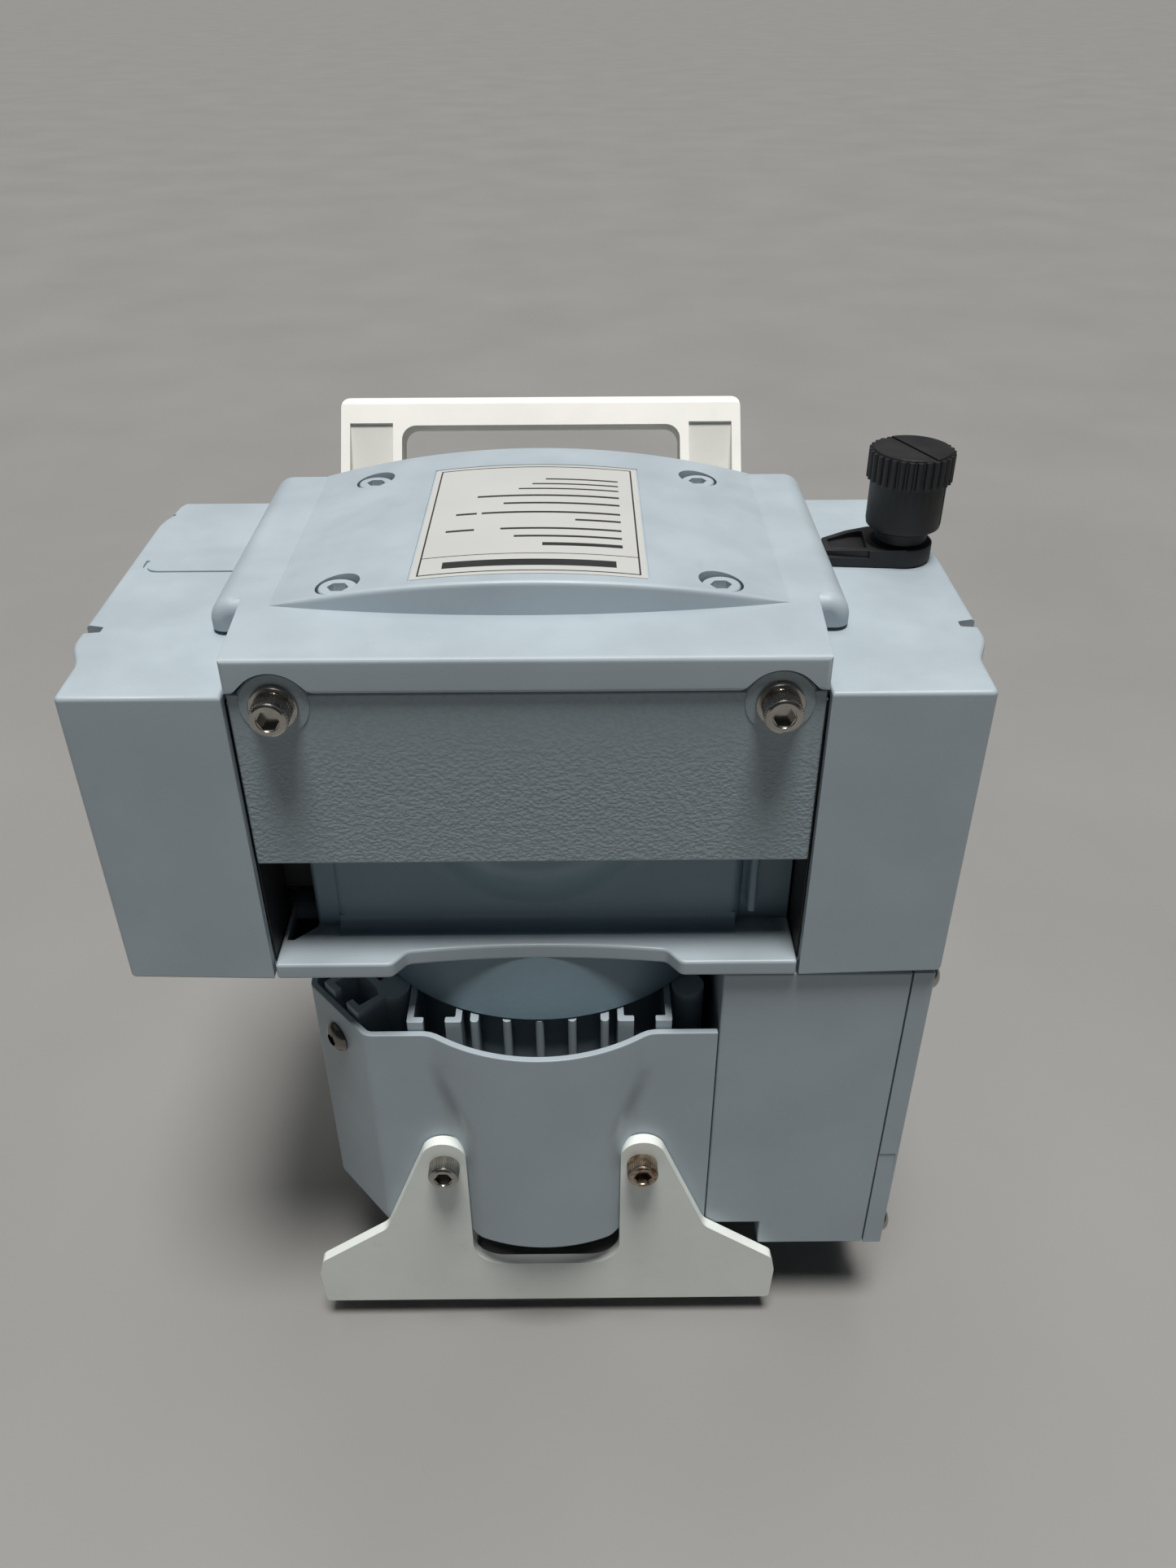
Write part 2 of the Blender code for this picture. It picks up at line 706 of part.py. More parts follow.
def motor_cover():
    """Its bulge is narrower below the ledge, where the stand's prongs lie on it."""
    wide, narrow = sheet_path(BULGE_HALF), sheet_path(PRONG_INNER_X - 2.5)
    low, high = SHEET_Z
    body = solid("motor_cover", prism(wide + beside(wide, SHEET)[::-1], SHEET_LEDGE, high), paint())
    add(body, prism(wide + beside(narrow, SHEET)[::-1], SHEET_LEDGE - SHEET, SHEET_LEDGE + 0.1))
    add(body, prism(narrow + beside(narrow, SHEET)[::-1], low, SHEET_LEDGE - SHEET + 0.1))
    for rear in (False, True):
        at, outward = sheet_screw_place(rear)
        cut(body, angled_hole(at, outward, 2.7, -6, 3))
        y = 2 * AXIS_Y - SHEET_FRONT if rear else SHEET_FRONT
        for side in (-1, 1):
            cut(body, rod((side * SLOT_X, STAND_SCREW_Z), 3.3, y - 4, y + 4, "Y", 12))
    return smooth(body, 30)


def motor_cover_screw():
    at, outward = sheet_screw_place(False)
    button_screw("motor_cover_screw", at + outward * GAP, outward, 5.0, 2.8, (2.3, 12.0))


def shaft_parts():
    pin_y = AXIS_Y - CRANK_THROW
    finish = steel()
    shaft = solid("motor_shaft", rod((0, AXIS_Y), SHAFT_R, 40.5, 192, steps=16), finish)
    add(shaft, rod((0, AXIS_Y), 16, 191, 201.8), rod((0, pin_y), PIN_R, 201, 225))
    weight = arc((0, AXIS_Y), 24, 0, 180, 16) + arc((0, AXIS_Y), 10, 180, 360, 8)
    add(shaft, prism(weight, 224, 232))
    pivot_at(smooth(shaft), 0, AXIS_Y, 190)
    profile = [(7.8, 72), (24, 72), (24, 77), (27.3, 77), (27.3, 129), (24, 129), (24, 134), (7.8, 134)]
    rotor = solid("rotor", turned(profile, (0, AXIS_Y), ring=True), aluminium())
    pivot_at(smooth(rotor), 0, AXIS_Y, 100)
    cooling_fan()


def cooling_fan():
    body = solid("cooling_fan", rod((0, AXIS_Y), 43, 47.5, 49.5), black())
    add(body, rod((0, AXIS_Y), 13, 40.5, 50, steps=16))
    for i in range(9):
        blade = box((11, 42), (-1.2, 1.2), (41.5, 48.5))
        turn = Matrix.Translation((0, AXIS_Y, 0)) @ Matrix.Rotation(math.tau * i / 9, 4, "Z")
        bmesh.ops.transform(blade, verts=blade.verts, matrix=turn)
        add(body, blade)
    cut(body, rod((0, AXIS_Y), 7.8, 38, 52, steps=16))
    pivot_at(smooth(body), 0, AXIS_Y, 45)


def motor_inside():
    copper = material("stator_winding", (0.45, 0.22, 0.1), 0.4, 0.6)
    lower_half = [(28, 78), (31, 78), (31, 68), (43, 68), (43, 78), (46.5, 78)]
    upper_half = [(46.5, 128), (43, 128), (43, 136), (31, 136), (31, 128), (28, 128)]
    stator = lower_half + upper_half
    smooth(solid("stator", turned(stator, (0, AXIS_Y), ring=True), copper))
    for name, low, high in (("lower_bearing", 56.4, 64.0), ("upper_bearing", 143.0, 152.7)):
        ring = [(7.8, low), (16, low), (16, high), (7.8, high)]
        smooth(solid(name, turned(ring, (0, AXIS_Y), ring=True), steel()))
    shield = [(8.6, 54), (50, 54), (50, 61.7), (20, 61.7), (20, 65), (16.3, 65), (16.3, 56.1), (8.6, 56.1)]
    smooth(solid("end_shield", turned(shield, (0, AXIS_Y), steps=32, ring=True), aluminium()))
    fan_cowl()


def fan_cowl():
    wall = [(10, PUMP_BOTTOM), (51, PUMP_BOTTOM), (51, 53.7), (48.5, 53.7), (48.5, 38.2), (10, 38.2)]
    body = solid("fan_cowl", turned(wall, (0, AXIS_Y), steps=32, ring=True), black())
    slots = []
    for i in range(12):
        slot = box((17, 43), (-1.8, 1.8), (PUMP_BOTTOM - 2, 40))
        turn = Matrix.Translation((0, AXIS_Y, 0)) @ Matrix.Rotation(math.tau * i / 12, 4, "Z")
        bmesh.ops.transform(slot, verts=slot.verts, matrix=turn)
        slots.append(slot)
    return smooth(cut(body, merged(slots)), 40)


# Rods, diaphragms and heads

def connecting_rod(side):
    """A rod from the crank pin to its diaphragm, with the discs that clamp the diaphragm."""
    name = "connecting_rod_right" if side > 0 else "connecting_rod_left"
    low = RIGHT_ROD_Z if side > 0 else LEFT_ROD_Z
    pin_y = AXIS_Y - CRANK_THROW
    body = solid(name, rod((0, pin_y), 13, low, low + ROD_THICK), aluminium())
    arm = sorted((side * 8.0, side * 54.0))
    add(body, box(arm, (pin_y - 6, pin_y + 6), (low + 0.8, low + ROD_THICK - 0.8)))
    for radius, near, far in ((18, 52, ROD_PLATE_X), (4, 58, 67), (16, 64.7, 68.5)):
        x = sorted((side * near, side * far))
        add(body, rod((pin_y, HEAD_Z), radius, x[0], x[1], "X", 20))
    cut(body, rod((0, pin_y), PIN_R + GAP, low - 2, low + ROD_THICK + 2))
    return pivot_at(smooth(body), 0, pin_y, low)


def diaphragm(side):
    """A rubber disc with one rolled wave between its clamped rim and its middle."""
    name = "diaphragm_right" if side > 0 else "diaphragm_left"
    near = DIAPHRAGM_X
    far = near + DIAPHRAGM_THICK
    wave = 2.6
    front = [(7.2, far), (20, far), (23, far + wave), (28, far + wave), (31, far), (38, far)]
    back = [(38, near), (31, near), (28, near + wave), (23, near + wave), (20, near), (7.2, near)]
    profile = [(r, side * x) for r, x in front + back]
    return smooth(solid(name, turned(profile, (AXIS_Y, HEAD_Z), "X", 20, ring=True), rubber()))


def head_square():
    half = HEAD_SIZE / 2
    corner = 8.0
    right = [(AXIS_Y + half, HEAD_Z - half + corner), (AXIS_Y + half, HEAD_Z + half - corner),
             (AXIS_Y + half - corner, HEAD_Z + half), (AXIS_Y - half + corner, HEAD_Z + half)]
    left = [(AXIS_Y - half, HEAD_Z + half - corner), (AXIS_Y - half, HEAD_Z - half + corner),
            (AXIS_Y - half + corner, HEAD_Z - half), (AXIS_Y + half - corner, HEAD_Z - half)]
    return right + left


def span(side, near, far):
    return sorted((side * near, side * far))


def pump_head(side):
    """The valve plate and the head cover of one pump head."""
    word = "right" if side > 0 else "left"
    plate = solid("head_plate_" + word, prism(head_square(), *span(side, *PLATE_X), "X"), black())
    chamber = [(0, side * (PLATE_X[0] - 2)), (CHAMBER_R, side * (PLATE_X[0] - 2)), (CHAMBER_R, side * 67.5),
               (22, side * CHAMBER_END), (0, side * CHAMBER_END)]
    cut(plate, turned(chamber, (AXIS_Y, HEAD_Z), "X", 24))
    cut(plate, rod(INLET_VALVE, VALVE_R + 0.7, *span(side, 77.4, 82), "X", 16))
    cut(plate, rod(INLET_VALVE, 3, *span(side, 70, 79), "X", 12))
    cut(plate, rod(OUTLET_VALVE, 3, *span(side, 70, 82), "X", 12))
    smooth(plate)
    cover = solid("head_cover_" + word, prism(head_square(), *span(side, *HEAD_COVER_X), "X"), black())
    cut(cover, rod(OUTLET_VALVE, VALVE_R + 0.7, *span(side, 78, 83.4), "X", 16))
    rear = AXIS_Y + HEAD_SIZE / 2
    for y, z in (INLET_VALVE, OUTLET_VALVE):
        cut(cover, rod((y, z), 4, *span(side, 79, DUCT_X), "X", 12))
        cut(cover, rod((side * DUCT_X, z), 4.2, y, rear + 2, "Y", 12))
    smooth(cover)
    disc_finish = rubber()
    for label, place, near in (("inlet", INLET_VALVE, 78.7), ("outlet", OUTLET_VALVE, 80.6)):
        x = span(side, near, near + 1.2)
        disc = solid(f"{label}_valve_{word}", rod(place, VALVE_R, x[0], x[1], "X", 16), disc_finish)
        pivot_at(smooth(disc), x[0], *place)


def nozzle(name, x, z):
    """A hose nozzle with three barbs, on the rear of a pump head."""
    start = AXIS_Y + HEAD_SIZE / 2 + GAP
    profile = [(2.4, start), (6.2, start), (6.2, start + 6), (4.6, start + 6), (4.6, 133)]
    for i in range(3):
        barb = 133 + 5 * i
        profile += [(5.6, barb), (4.3, barb + 4.6)]
    profile += [(2.4, 148)]
    return smooth(solid(name, turned(profile, (x, z), "Y", 12, ring=True), ptfe()))


def connecting_hose():
    """A hose behind the pump block, from the left head's outlet to the right head's inlet."""
    start = AXIS_Y + HEAD_SIZE / 2 + GAP
    far_y = 118.0
    left_z, right_z = OUTLET_VALVE[1], INLET_VALVE[1]
    radius = far_y - start - 1
    points = [(-DUCT_X, start, left_z)]
    points += [(-x, y, left_z) for x, y in arc((DUCT_X - radius, far_y - radius), radius, 0, 90, 6)]
    steps = 14
    ends = DUCT_X - radius
    for i in range(1, steps):
        t = i / steps
        rise = t * t * (3 - 2 * t)
        points.append((-ends + 2 * ends * t, far_y, left_z + (right_z - left_z) * rise))
    points += [(x, y, right_z) for x, y in arc((DUCT_X - radius, far_y - radius), radius, 90, 0, 6)]
    points.append((DUCT_X, start, right_z))
    curve = bpy.data.curves.new("connecting_hose", "CURVE")
    curve.dimensions = "3D"
    curve.bevel_depth = 4.0 * MM
    curve.bevel_resolution = 3
    curve.use_fill_caps = True
    spline = curve.splines.new("POLY")
    spline.points.add(len(points) - 1)
    for point, (x, y, z) in zip(spline.points, points):
        point.co = (x * MM, (y - ORIGIN_Y) * MM, z * MM, 1)
    made = bpy.data.objects.new("connecting_hose", curve)
    bpy.context.collection.objects.link(made)
    curve.materials.append(ptfe())
    return made


# Terminal box

def box_outline(inset, right):
    """Front view of the terminal box, which reaches lower on its right."""
    low, high = BOX_Z[0] + inset, BOX_Z[1] - inset
    bottom = BOX_BOTTOM + inset
    step = BOX_STEP_X + inset
    return [(BOX_X[0] + inset, low), (step, low), (step, bottom), (right, bottom), (right, high),
            (BOX_X[0] + inset, high)]


def terminal_box():
    wall = 2.5
    body = solid("terminal_box", prism(box_outline(0, BOX_X[1]), *BOX_Y, "Y"), paint())
    cut(body, prism(box_outline(wall, BOX_X[1] + 2), BOX_Y[0] + wall, BOX_Y[1] - wall, "Y"))
    rear = (BOX_Y[1] - 5, BOX_Y[1] + 2)
    for (x, z), half_width, half_height in ((SOCKET_AT, 12.3, 9.3), (SWITCH_AT, 6.8, 11.3)):
        cut(body, box((x - half_width, x + half_width), rear, (z - half_height, z + half_height)))
    for z in LID_SCREW_Z:
        add(body, box((100, BOX_X[1]), (BOX_Y[0] + 1, BOX_Y[0] + 9), (z - 3.5, z + 3.5)))
        cut(body, rod((LID_SCREW_Y, z), 1.5, 103, BOX_X[1] + 2, "X", 12))
    return smooth(body)


def terminal_box_lid():
    low = BOX_X[1] + GAP
    body = solid("terminal_box_lid", box((low, LID_X), BOX_Y, (BOX_BOTTOM, BOX_Z[1])), paint())
    for z in LID_SCREW_Z:
        cut(body, rod((LID_SCREW_Y, z), 1.6, low - 2, LID_X + 2, "X", 12))
    return smooth(body)


def lid_screws():
    for name, z in zip(("lower", "upper"), LID_SCREW_Z):
        button_screw("lid_screw_" + name, (LID_X + GAP, LID_SCREW_Y, z), (1, 0, 0), 3.8, 2.3, (1.2, 12.0))


def power_inlet():
    """A mains inlet with three blades in its recess. It takes a separate lead."""
    x, z = SOCKET_AT
    rear = BOX_Y[1]
    body = solid("power_inlet", box((x - 16, x + 16), (rear + GAP, rear + 3.2), (z - 12, z + 12)), black())
    add(body, box((x - 12, x + 12), (rear - 18, rear + 1), (z - 9, z + 9)))
    recess = [(x - 9.5, z - 6.5), (x + 9.5, z - 6.5), (x + 9.5, z + 3), (x + 6, z + 6.5), (x - 6, z + 6.5),
              (x - 9.5, z + 3)]
    cut(body, prism(recess, rear - 15, rear + 5, "Y"))
    for dx, dz in ((-5, -1.5), (5, -1.5), (0, 1.5)):
        add(body, box((x + dx - 1, x + dx + 1), (rear - 16, rear - 5), (z + dz - 2, z + dz + 2)))
    return body


def switch_rocker():
    """The mains switch. It tips about a pin across the box's rear wall."""
    x, z = SWITCH_AT
    pin_y = BOX_Y[1] - 2
    side = arc((pin_y, z), 10.0, -58, 58, 8)
    face = [(y if y < pin_y + 6 else pin_y + 6 - 0.4 * (1 - abs(h - z) / 9), h) for y, h in side]
    outline = [(pin_y - 5, z - 6)] + face + [(pin_y - 5, z + 6)]
    body = solid("switch_rocker", prism(outline, x - 6.3, x + 6.3, "X"), black())
    pivot_at(body, x, pin_y, z)
    body.data.transform(Matrix.Rotation(math.radians(-8), 4, "X"))
    return body


def run_capacitor():
    profile = [(0, 60), (17, 60), (18, 61), (18, 140), (17, 141), (5, 141), (5, 147), (0, 147)]
    return smooth(solid("run_capacitor", turned(profile, (92, 40)), aluminium()))


# Stand

def stand_outline():
    """Front view of the right half of a stand plate, from the middle of its base to its notch."""
    x, z = SLOT_X + 0.3, 89.5
    radius = 7.3
    wing = [(0, STAND_BOTTOM), (79.5, STAND_BOTTOM), (80.2, 27.5), (79.3, 32.6), (76.8, 35.4)]
    shoulder = [(54.2, 52.0), (51.6, 55.4)]
    prong = arc((x, z), radius, 18, 180, 10)
    notch = arc((15.3, 41.0), 10.7, 0, -90, 6)
    return wing + shoulder + prong + notch


def foot_bracket(rear):
    half = stand_outline()
    outline = half + [(-a, b) for a, b in half[:0:-1]]
    front = SHEET_FRONT - GAP - PLATE
    name = "foot_bracket_rear" if rear else "foot_bracket_front"
    finish = material("light_grey_paint", (0.60, 0.63, 0.61), 0.4)
    body = solid(name, prism(outline, front, front + PLATE, "Y"), finish)
    add(body, box((-74, 74), (front + 1, 30), (STAND_BOTTOM, STAND_BOTTOM + PLATE)))
    for side in (-1, 1):
        cut(body, rod((side * SLOT_X, STAND_SCREW_Z), 3.3, front - 2, front + PLATE + 2, "Y", 20))
    if rear:
        mirror = Matrix.Translation((0, 2 * (AXIS_Y - ORIGIN_Y) * MM, 0)) @ Matrix.Diagonal((1, -1, 1, 1))
        body.data.transform(mirror)
        body.data.flip_normals()
    return smooth(body)


def rubber_foot(name, at):
    top = STAND_BOTTOM - GAP
    profile = [(0, 0), (FOOT_R - 1.2, 0), (FOOT_R, 1.2), (FOOT_R, top), (0, top)]
    return smooth(solid(name, turned(profile, at, steps=16), rubber()))


def stand():
    for rear in (False, True):
        foot_bracket(rear)
        word = "rear" if rear else "front"
        for side, hand in ((-1, "left"), (1, "right")):
            y = 2 * AXIS_Y - FOOT_AT[1] if rear else FOOT_AT[1]
            rubber_foot(f"rubber_foot_{word}_{hand}", (side * FOOT_AT[0], y))
            seat = SHEET_FRONT - 2 * GAP - PLATE
            at = (side * SLOT_X, 2 * AXIS_Y - seat if rear else seat, STAND_SCREW_Z)
            facing = (0, 1, 0) if rear else (0, -1, 0)
            cap_screw(f"bracket_screw_{word}_{hand}", at, facing, (5.0, 6.0), (2.9, 13.0))


# Handle

def handle_point(down, back):
    """A point in side view: down along the leaning front face, and back from it."""
    lean, rise = math.sin(HANDLE_LEAN), math.cos(HANDLE_LEAN)
    return HANDLE_TOP[0] - down * lean + back * rise, HANDLE_TOP[1] - down * rise - back * lean


def in_handle_plane(outline):
    """A prism through the bar's thickness. Its outline lists x and the distance up the lean."""
    bm = prism(outline, -1, HANDLE_BAR[1] + 1)
    lean, rise = math.sin(HANDLE_LEAN), math.cos(HANDLE_LEAN)
    for vert in bm.verts:
        x, up, back = vert.co
        vert.co = (x, HANDLE_TOP[0] + up * lean + back * rise, HANDLE_TOP[1] + up * rise - back * lean)
    return bm


def end_rounding(side):
    """What is cut from the bar's end to round its corner."""
    radius, half = 4.5, HANDLE_HALF
    corner = arc((half - radius, -radius), radius, 0, 90, 4)
    outline = [(half + 1, 1), (half + 1, -radius)] + corner + [(half - radius, 1)]
    return in_handle_plane(outline if side > 0 else flipped(outline))


def handle():
    """A wide carrying handle with hollow legs, on the rear plate."""
    tall, thick = HANDLE_BAR
    edge = HANDLE_EDGE
    pad_front = REAR_PLATE_Y + GAP
    pad_bottom = 176.0
    knee = (140.0, 190.0)
    heel = [(136.0, pad_bottom), (pad_front, pad_bottom)]
    crest = [handle_point(*p) for p in ((edge, 0), (0, edge), (0, thick - edge), (edge, thick))]
    bar = crest + [handle_point(tall, thick), handle_point(tall, 0)]
    rim = crest + [knee] + heel + [(pad_front, 224.0)]
    back, foot = Vector(crest[-1]), Vector(knee)
    inward = Vector((foot.y - back.y, back.x - foot.x)).normalized() * 4
    web = [crest[-1], knee] + heel + [(pad_front, 190.0), tuple(foot + inward), tuple(back + inward)]
    inner = HANDLE_HALF - HANDLE_LEG
    finish = material("off_white_plastic", (0.80, 0.80, 0.76), 0.45)
    body = solid("handle", prism(bar, -HANDLE_HALF, HANDLE_HALF, "X"), finish)
    screw_x, screw_z = HANDLE_SCREW
    for side in (-1, 1):
        add(body, prism(rim, *span(side, inner, inner + HANDLE_RIM), "X"))
        add(body, prism(rim, *span(side, HANDLE_HALF - HANDLE_RIM, HANDLE_HALF), "X"))
        add(body, prism(web, *span(side, inner + 1, HANDLE_HALF - 1), "X"))
        cut(body, rod((side * screw_x, screw_z), 2.8, REAR_PLATE_Y - 2, 150, "Y", 20))
        cut(body, rod((side * screw_x, screw_z), 5.0, HANDLE_PAD_REAR, 150, "Y", 24))
        cut(body, end_rounding(side))
    return smooth(body)


def handle_screws():
    for side, name in ((-1, "left"), (1, "right")):
        at = (side * HANDLE_SCREW[0], HANDLE_PAD_REAR + GAP, HANDLE_SCREW[1])
        cap_screw("handle_screw_" + name, at, (0, 1, 0), (4.4, 4.5), (2.4, 18.0))


# Gas ballast valve

def ribbed_circle(centre, radius, depth, ribs):
    points = []
    for i in range(ribs):
        for share, r in ((0.0, radius), (0.5, radius), (0.62, radius - depth), (0.88, radius - depth)):
            turn = math.tau * (i + share) / ribs
            points.append((centre[0] + r * math.cos(turn), centre[1] + r * math.sin(turn)))
    return points


def gas_ballast_knob():
    cap_low = KNOB_TOP - KNOB_CAP
    low = KNOB_BOTTOM
    ribs = ribbed_circle(KNOB_AT, KNOB_R, 0.9, 20)
    body = solid("gas_ballast_knob", prism(ribs, cap_low, KNOB_TOP - 0.8), black())
    rim = [(0, cap_low + 2), (11.4, cap_low + 2), (11.4, KNOB_TOP), (0, KNOB_TOP)]
    skirt = [(0, low), (10.0, low), (11.0, low + 1.4), (11.0, cap_low + 1), (0, cap_low + 1)]
    add(body, turned(rim, KNOB_AT), turned(skirt, KNOB_AT))
    cut(body, rod(KNOB_AT, 5.0, low - 2, KNOB_TOP - 6, steps=16))
    return pivot_at(smooth(body), *KNOB_AT, 280)


def valve_arm(low):
    """The arm that runs from the valve's base to the top cover. It falls away towards its front."""
    x, y = KNOB_AT
    end = LID_HALF + 0.6
    rear = [(x, y + 8.6), (x - 8, y + 8.6), (x - 15, y + 7.2), (end, y + 4.0)]
    bm = prism([(end, y - 7.6), (x, y - 8.6)] + rear, low, low + 5.6)
    for vert in bm.verts:
        if vert.co.z > low + 1 and vert.co.x < end + 1 and vert.co.y < y:
            vert.co.z = low + 1.6
    return bm


def gas_ballast_valve():
    """The valve's base ring and stem, with an arm to the top cover."""
    low = COVER_TOP + GAP
    neck = KNOB_BOTTOM - GAP
    stem = KNOB_TOP - 6.5
    profile = [(0, 250), (4.7, 250), (4.7, low), (VALVE_BASE_R, low), (VALVE_BASE_R, 266.0), (7.5, 266.6),
               (7.5, neck), (4.6, neck), (4.6, stem), (0, stem)]
    body = solid("gas_ballast_valve", turned(profile, KNOB_AT), black())
    add(body, valve_arm(low))
    return smooth(body)


def build():
    clear_scene()
    for side in (-1, 1):
        side_cover(side)
        connecting_rod(side)
        diaphragm(side)
        pump_head(side)
    top_cover()
    label_plate()
    top_cover_screws()
    front_panel()
    panel_screws()
    drive_housing()
    motor_housing()
    motor_cover()
    motor_cover_screw()
    shaft_parts()
    motor_inside()
    nozzle("inlet_nozzle", -DUCT_X, INLET_VALVE[1])
    nozzle("outlet_nozzle", DUCT_X, OUTLET_VALVE[1])
    connecting_hose()
    terminal_box()
    terminal_box_lid()
    lid_screws()
    power_inlet()
    switch_rocker()
    run_capacitor()
    stand()
    handle()
    handle_screws()
    gas_ballast_knob()
    gas_ballast_valve()


build()
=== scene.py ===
"""The looks of a two-head diaphragm vacuum pump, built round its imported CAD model.

Shapes are worked out in millimetres, with x to the right, y backwards from the front faces of the
side covers, and z up from the floor. The places come from the CAD nodes' boxes.
"""
import json
import math

import bmesh
import bpy
from mathutils import Matrix, Vector


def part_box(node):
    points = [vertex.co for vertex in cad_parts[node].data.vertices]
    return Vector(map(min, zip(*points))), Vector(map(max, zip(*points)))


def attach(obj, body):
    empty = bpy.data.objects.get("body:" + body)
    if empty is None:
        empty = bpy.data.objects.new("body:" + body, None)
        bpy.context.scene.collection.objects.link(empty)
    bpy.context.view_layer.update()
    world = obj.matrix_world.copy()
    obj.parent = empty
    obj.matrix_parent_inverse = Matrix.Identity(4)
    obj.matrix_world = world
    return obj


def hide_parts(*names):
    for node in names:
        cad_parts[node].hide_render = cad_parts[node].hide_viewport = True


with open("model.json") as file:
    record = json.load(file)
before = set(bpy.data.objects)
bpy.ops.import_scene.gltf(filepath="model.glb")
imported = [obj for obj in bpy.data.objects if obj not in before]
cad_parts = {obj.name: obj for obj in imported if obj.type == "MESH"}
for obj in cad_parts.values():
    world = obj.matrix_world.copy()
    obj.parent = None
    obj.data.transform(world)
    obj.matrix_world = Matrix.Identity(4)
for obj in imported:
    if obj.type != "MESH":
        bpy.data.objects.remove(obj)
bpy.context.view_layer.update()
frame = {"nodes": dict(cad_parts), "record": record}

MM = 0.001
GAP = 0.3
FRONT_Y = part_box("side_cover_right")[0].y / MM


def node_span(node, axis):
    """A CAD node's lowest and highest value along an axis, in millimetres."""
    low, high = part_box(node)
    shift = FRONT_Y if axis == "y" else 0.0
    return getattr(low, axis) / MM - shift, getattr(high, axis) / MM - shift


def node_box(node):
    return [node_span(node, axis) for axis in "xyz"]


def node_middle(node):
    return Vector([sum(span) / 2 for span in node_box(node)])


SIDES = ((-1, "left"), (1, "right"))
COVER_LOW, COVER_TOP = node_span("side_cover_right", "z")
SHAFT_Y = 66.0


# Mesh tools

def in_scene(name, data):
    made = bpy.data.objects.new(name, data)
    bpy.context.scene.collection.objects.link(made)
    return made


def solid(name, bm):
    bmesh.ops.recalc_face_normals(bm, faces=bm.faces)
    to_metres = Matrix.Scale(MM, 4) @ Matrix.Translation((0, FRONT_Y, 0))
    bmesh.ops.transform(bm, verts=bm.verts, matrix=to_metres)
    mesh = bpy.data.meshes.new(name)
    bm.to_mesh(mesh)
    bm.free()
    return in_scene(name, mesh)


def across(axis, a, b, h):
    """A point at height h along an axis, and at (a, b) in the plane across it."""
    return {"X": (h, a, b), "Y": (a, h, b), "Z": (a, b, h)}[axis]


def prism(outline, low, high, axis="Z"):
    bm = bmesh.new()
    rings = [[bm.verts.new(across(axis, a, b, h)) for a, b in outline] for h in (low, high)]
    for ring in rings:
        bm.faces.new(ring)
    for i in range(len(outline)):
        j = (i + 1) % len(outline)
        bm.faces.new((rings[0][i], rings[0][j], rings[1][j], rings[1][i]))
    return bm


def loft(bm, rings):
    """Join rings of points with faces, and close both ends."""
    for a, b in zip(rings, rings[1:]):
        for k in range(len(a)):
            m = (k + 1) % len(a)
            bm.faces.new((a[k], a[m], b[m], b[k]))
    bm.faces.new(rings[0])
    bm.faces.new(rings[-1])


def rectangle(x, y):
    return [(x[0], y[0]), (x[1], y[0]), (x[1], y[1]), (x[0], y[1])]


def box(x, y, z):
    return prism(rectangle(x, y), *z)


def around(middle, half):
    return middle - half, middle + half


def shares(steps):
    return [i / steps for i in range(steps + 1)]


def eased(share):
    """A share from 0 to 1 that starts and ends gently."""
    return share * share * (3 - 2 * share)


def arc(centre, radius, start, end, steps):
    turns = [math.radians(start + (end - start) * i / steps) for i in range(steps + 1)]
    return [(centre[0] + radius * math.cos(t), centre[1] + radius * math.sin(t)) for t in turns]


def circle(centre, radius, steps):
    return arc(centre, radius, 0, 360 * (steps - 1) / steps, steps - 1)


def rod(centre, radius, low, high, axis="Z", steps=48):
    return prism(circle(centre, radius, steps), low, high, axis)


def turned(profile, centre, axis="Z", steps=48, ring=False):
    """A solid of revolution. The profile lists radius and height. A ring has a hole along its axis."""
    bm = bmesh.new()
    loops = []
    for radius, height in profile:
        spots = [centre] if radius == 0 else circle(centre, radius, steps)
        loops.append([bm.verts.new(across(axis, a, b, height)) for a, b in spots])
    pairs = list(zip(loops, loops[1:]))
    if ring:
        pairs.append((loops[-1], loops[0]))
    for lower, upper in pairs:
        for i in range(steps):
            j = (i + 1) % steps
            ends = ((lower, i), (lower, j), (upper, j), (upper, i))
            corners = [loop[k % len(loop)] for loop, k in ends]
            bm.faces.new(list(dict.fromkeys(corners)))
    return bm


def rounded(outline, radius, steps=5):
    """An outline with its corners rounded. The radius is one value, or one for each corner."""
    count = len(outline)
    radii = radius if isinstance(radius, (list, tuple)) else [radius] * count
    made = []
    for i, here in enumerate(outline):
        here = Vector(here)
        to_last = Vector(outline[i - 1]) - here
        to_next = Vector(outline[(i + 1) % count]) - here
        half = to_last.angle(to_next) / 2
        if radii[i] <= 0 or half > math.radians(89):
            made.append(tuple(here))
            continue
        reach = min(radii[i] / math.tan(half), to_last.length / 2.01, to_next.length / 2.01)
        size = reach * math.tan(half)
        halfway = (to_last.normalized() + to_next.normalized()).normalized()
        centre = here + halfway * math.hypot(reach, size)
        start = here + to_last.normalized() * reach - centre
        end = here + to_next.normalized() * reach - centre
        sweep = start.angle_signed(end)
        for k in range(steps + 1):
            spot = centre + Matrix.Rotation(-sweep * k / steps, 2) @ start
            made.append(tuple(spot))
    return made


def flipped(outline):
    return [(-a, b) for a, b in reversed(outline)]


def on_side(outline, side):
    """An outline drawn for the right side, mirrored if the side is the left one."""
    return outline if side > 0 else flipped(outline)


def apply_modifiers(body):
    depsgraph = bpy.context.evaluated_depsgraph_get()
    fresh = bpy.data.meshes.new_from_object(body.evaluated_get(depsgraph))
    old = body.data
    body.modifiers.clear()
    body.data = fresh
    bpy.data.meshes.remove(old)
    fresh.name = body.name


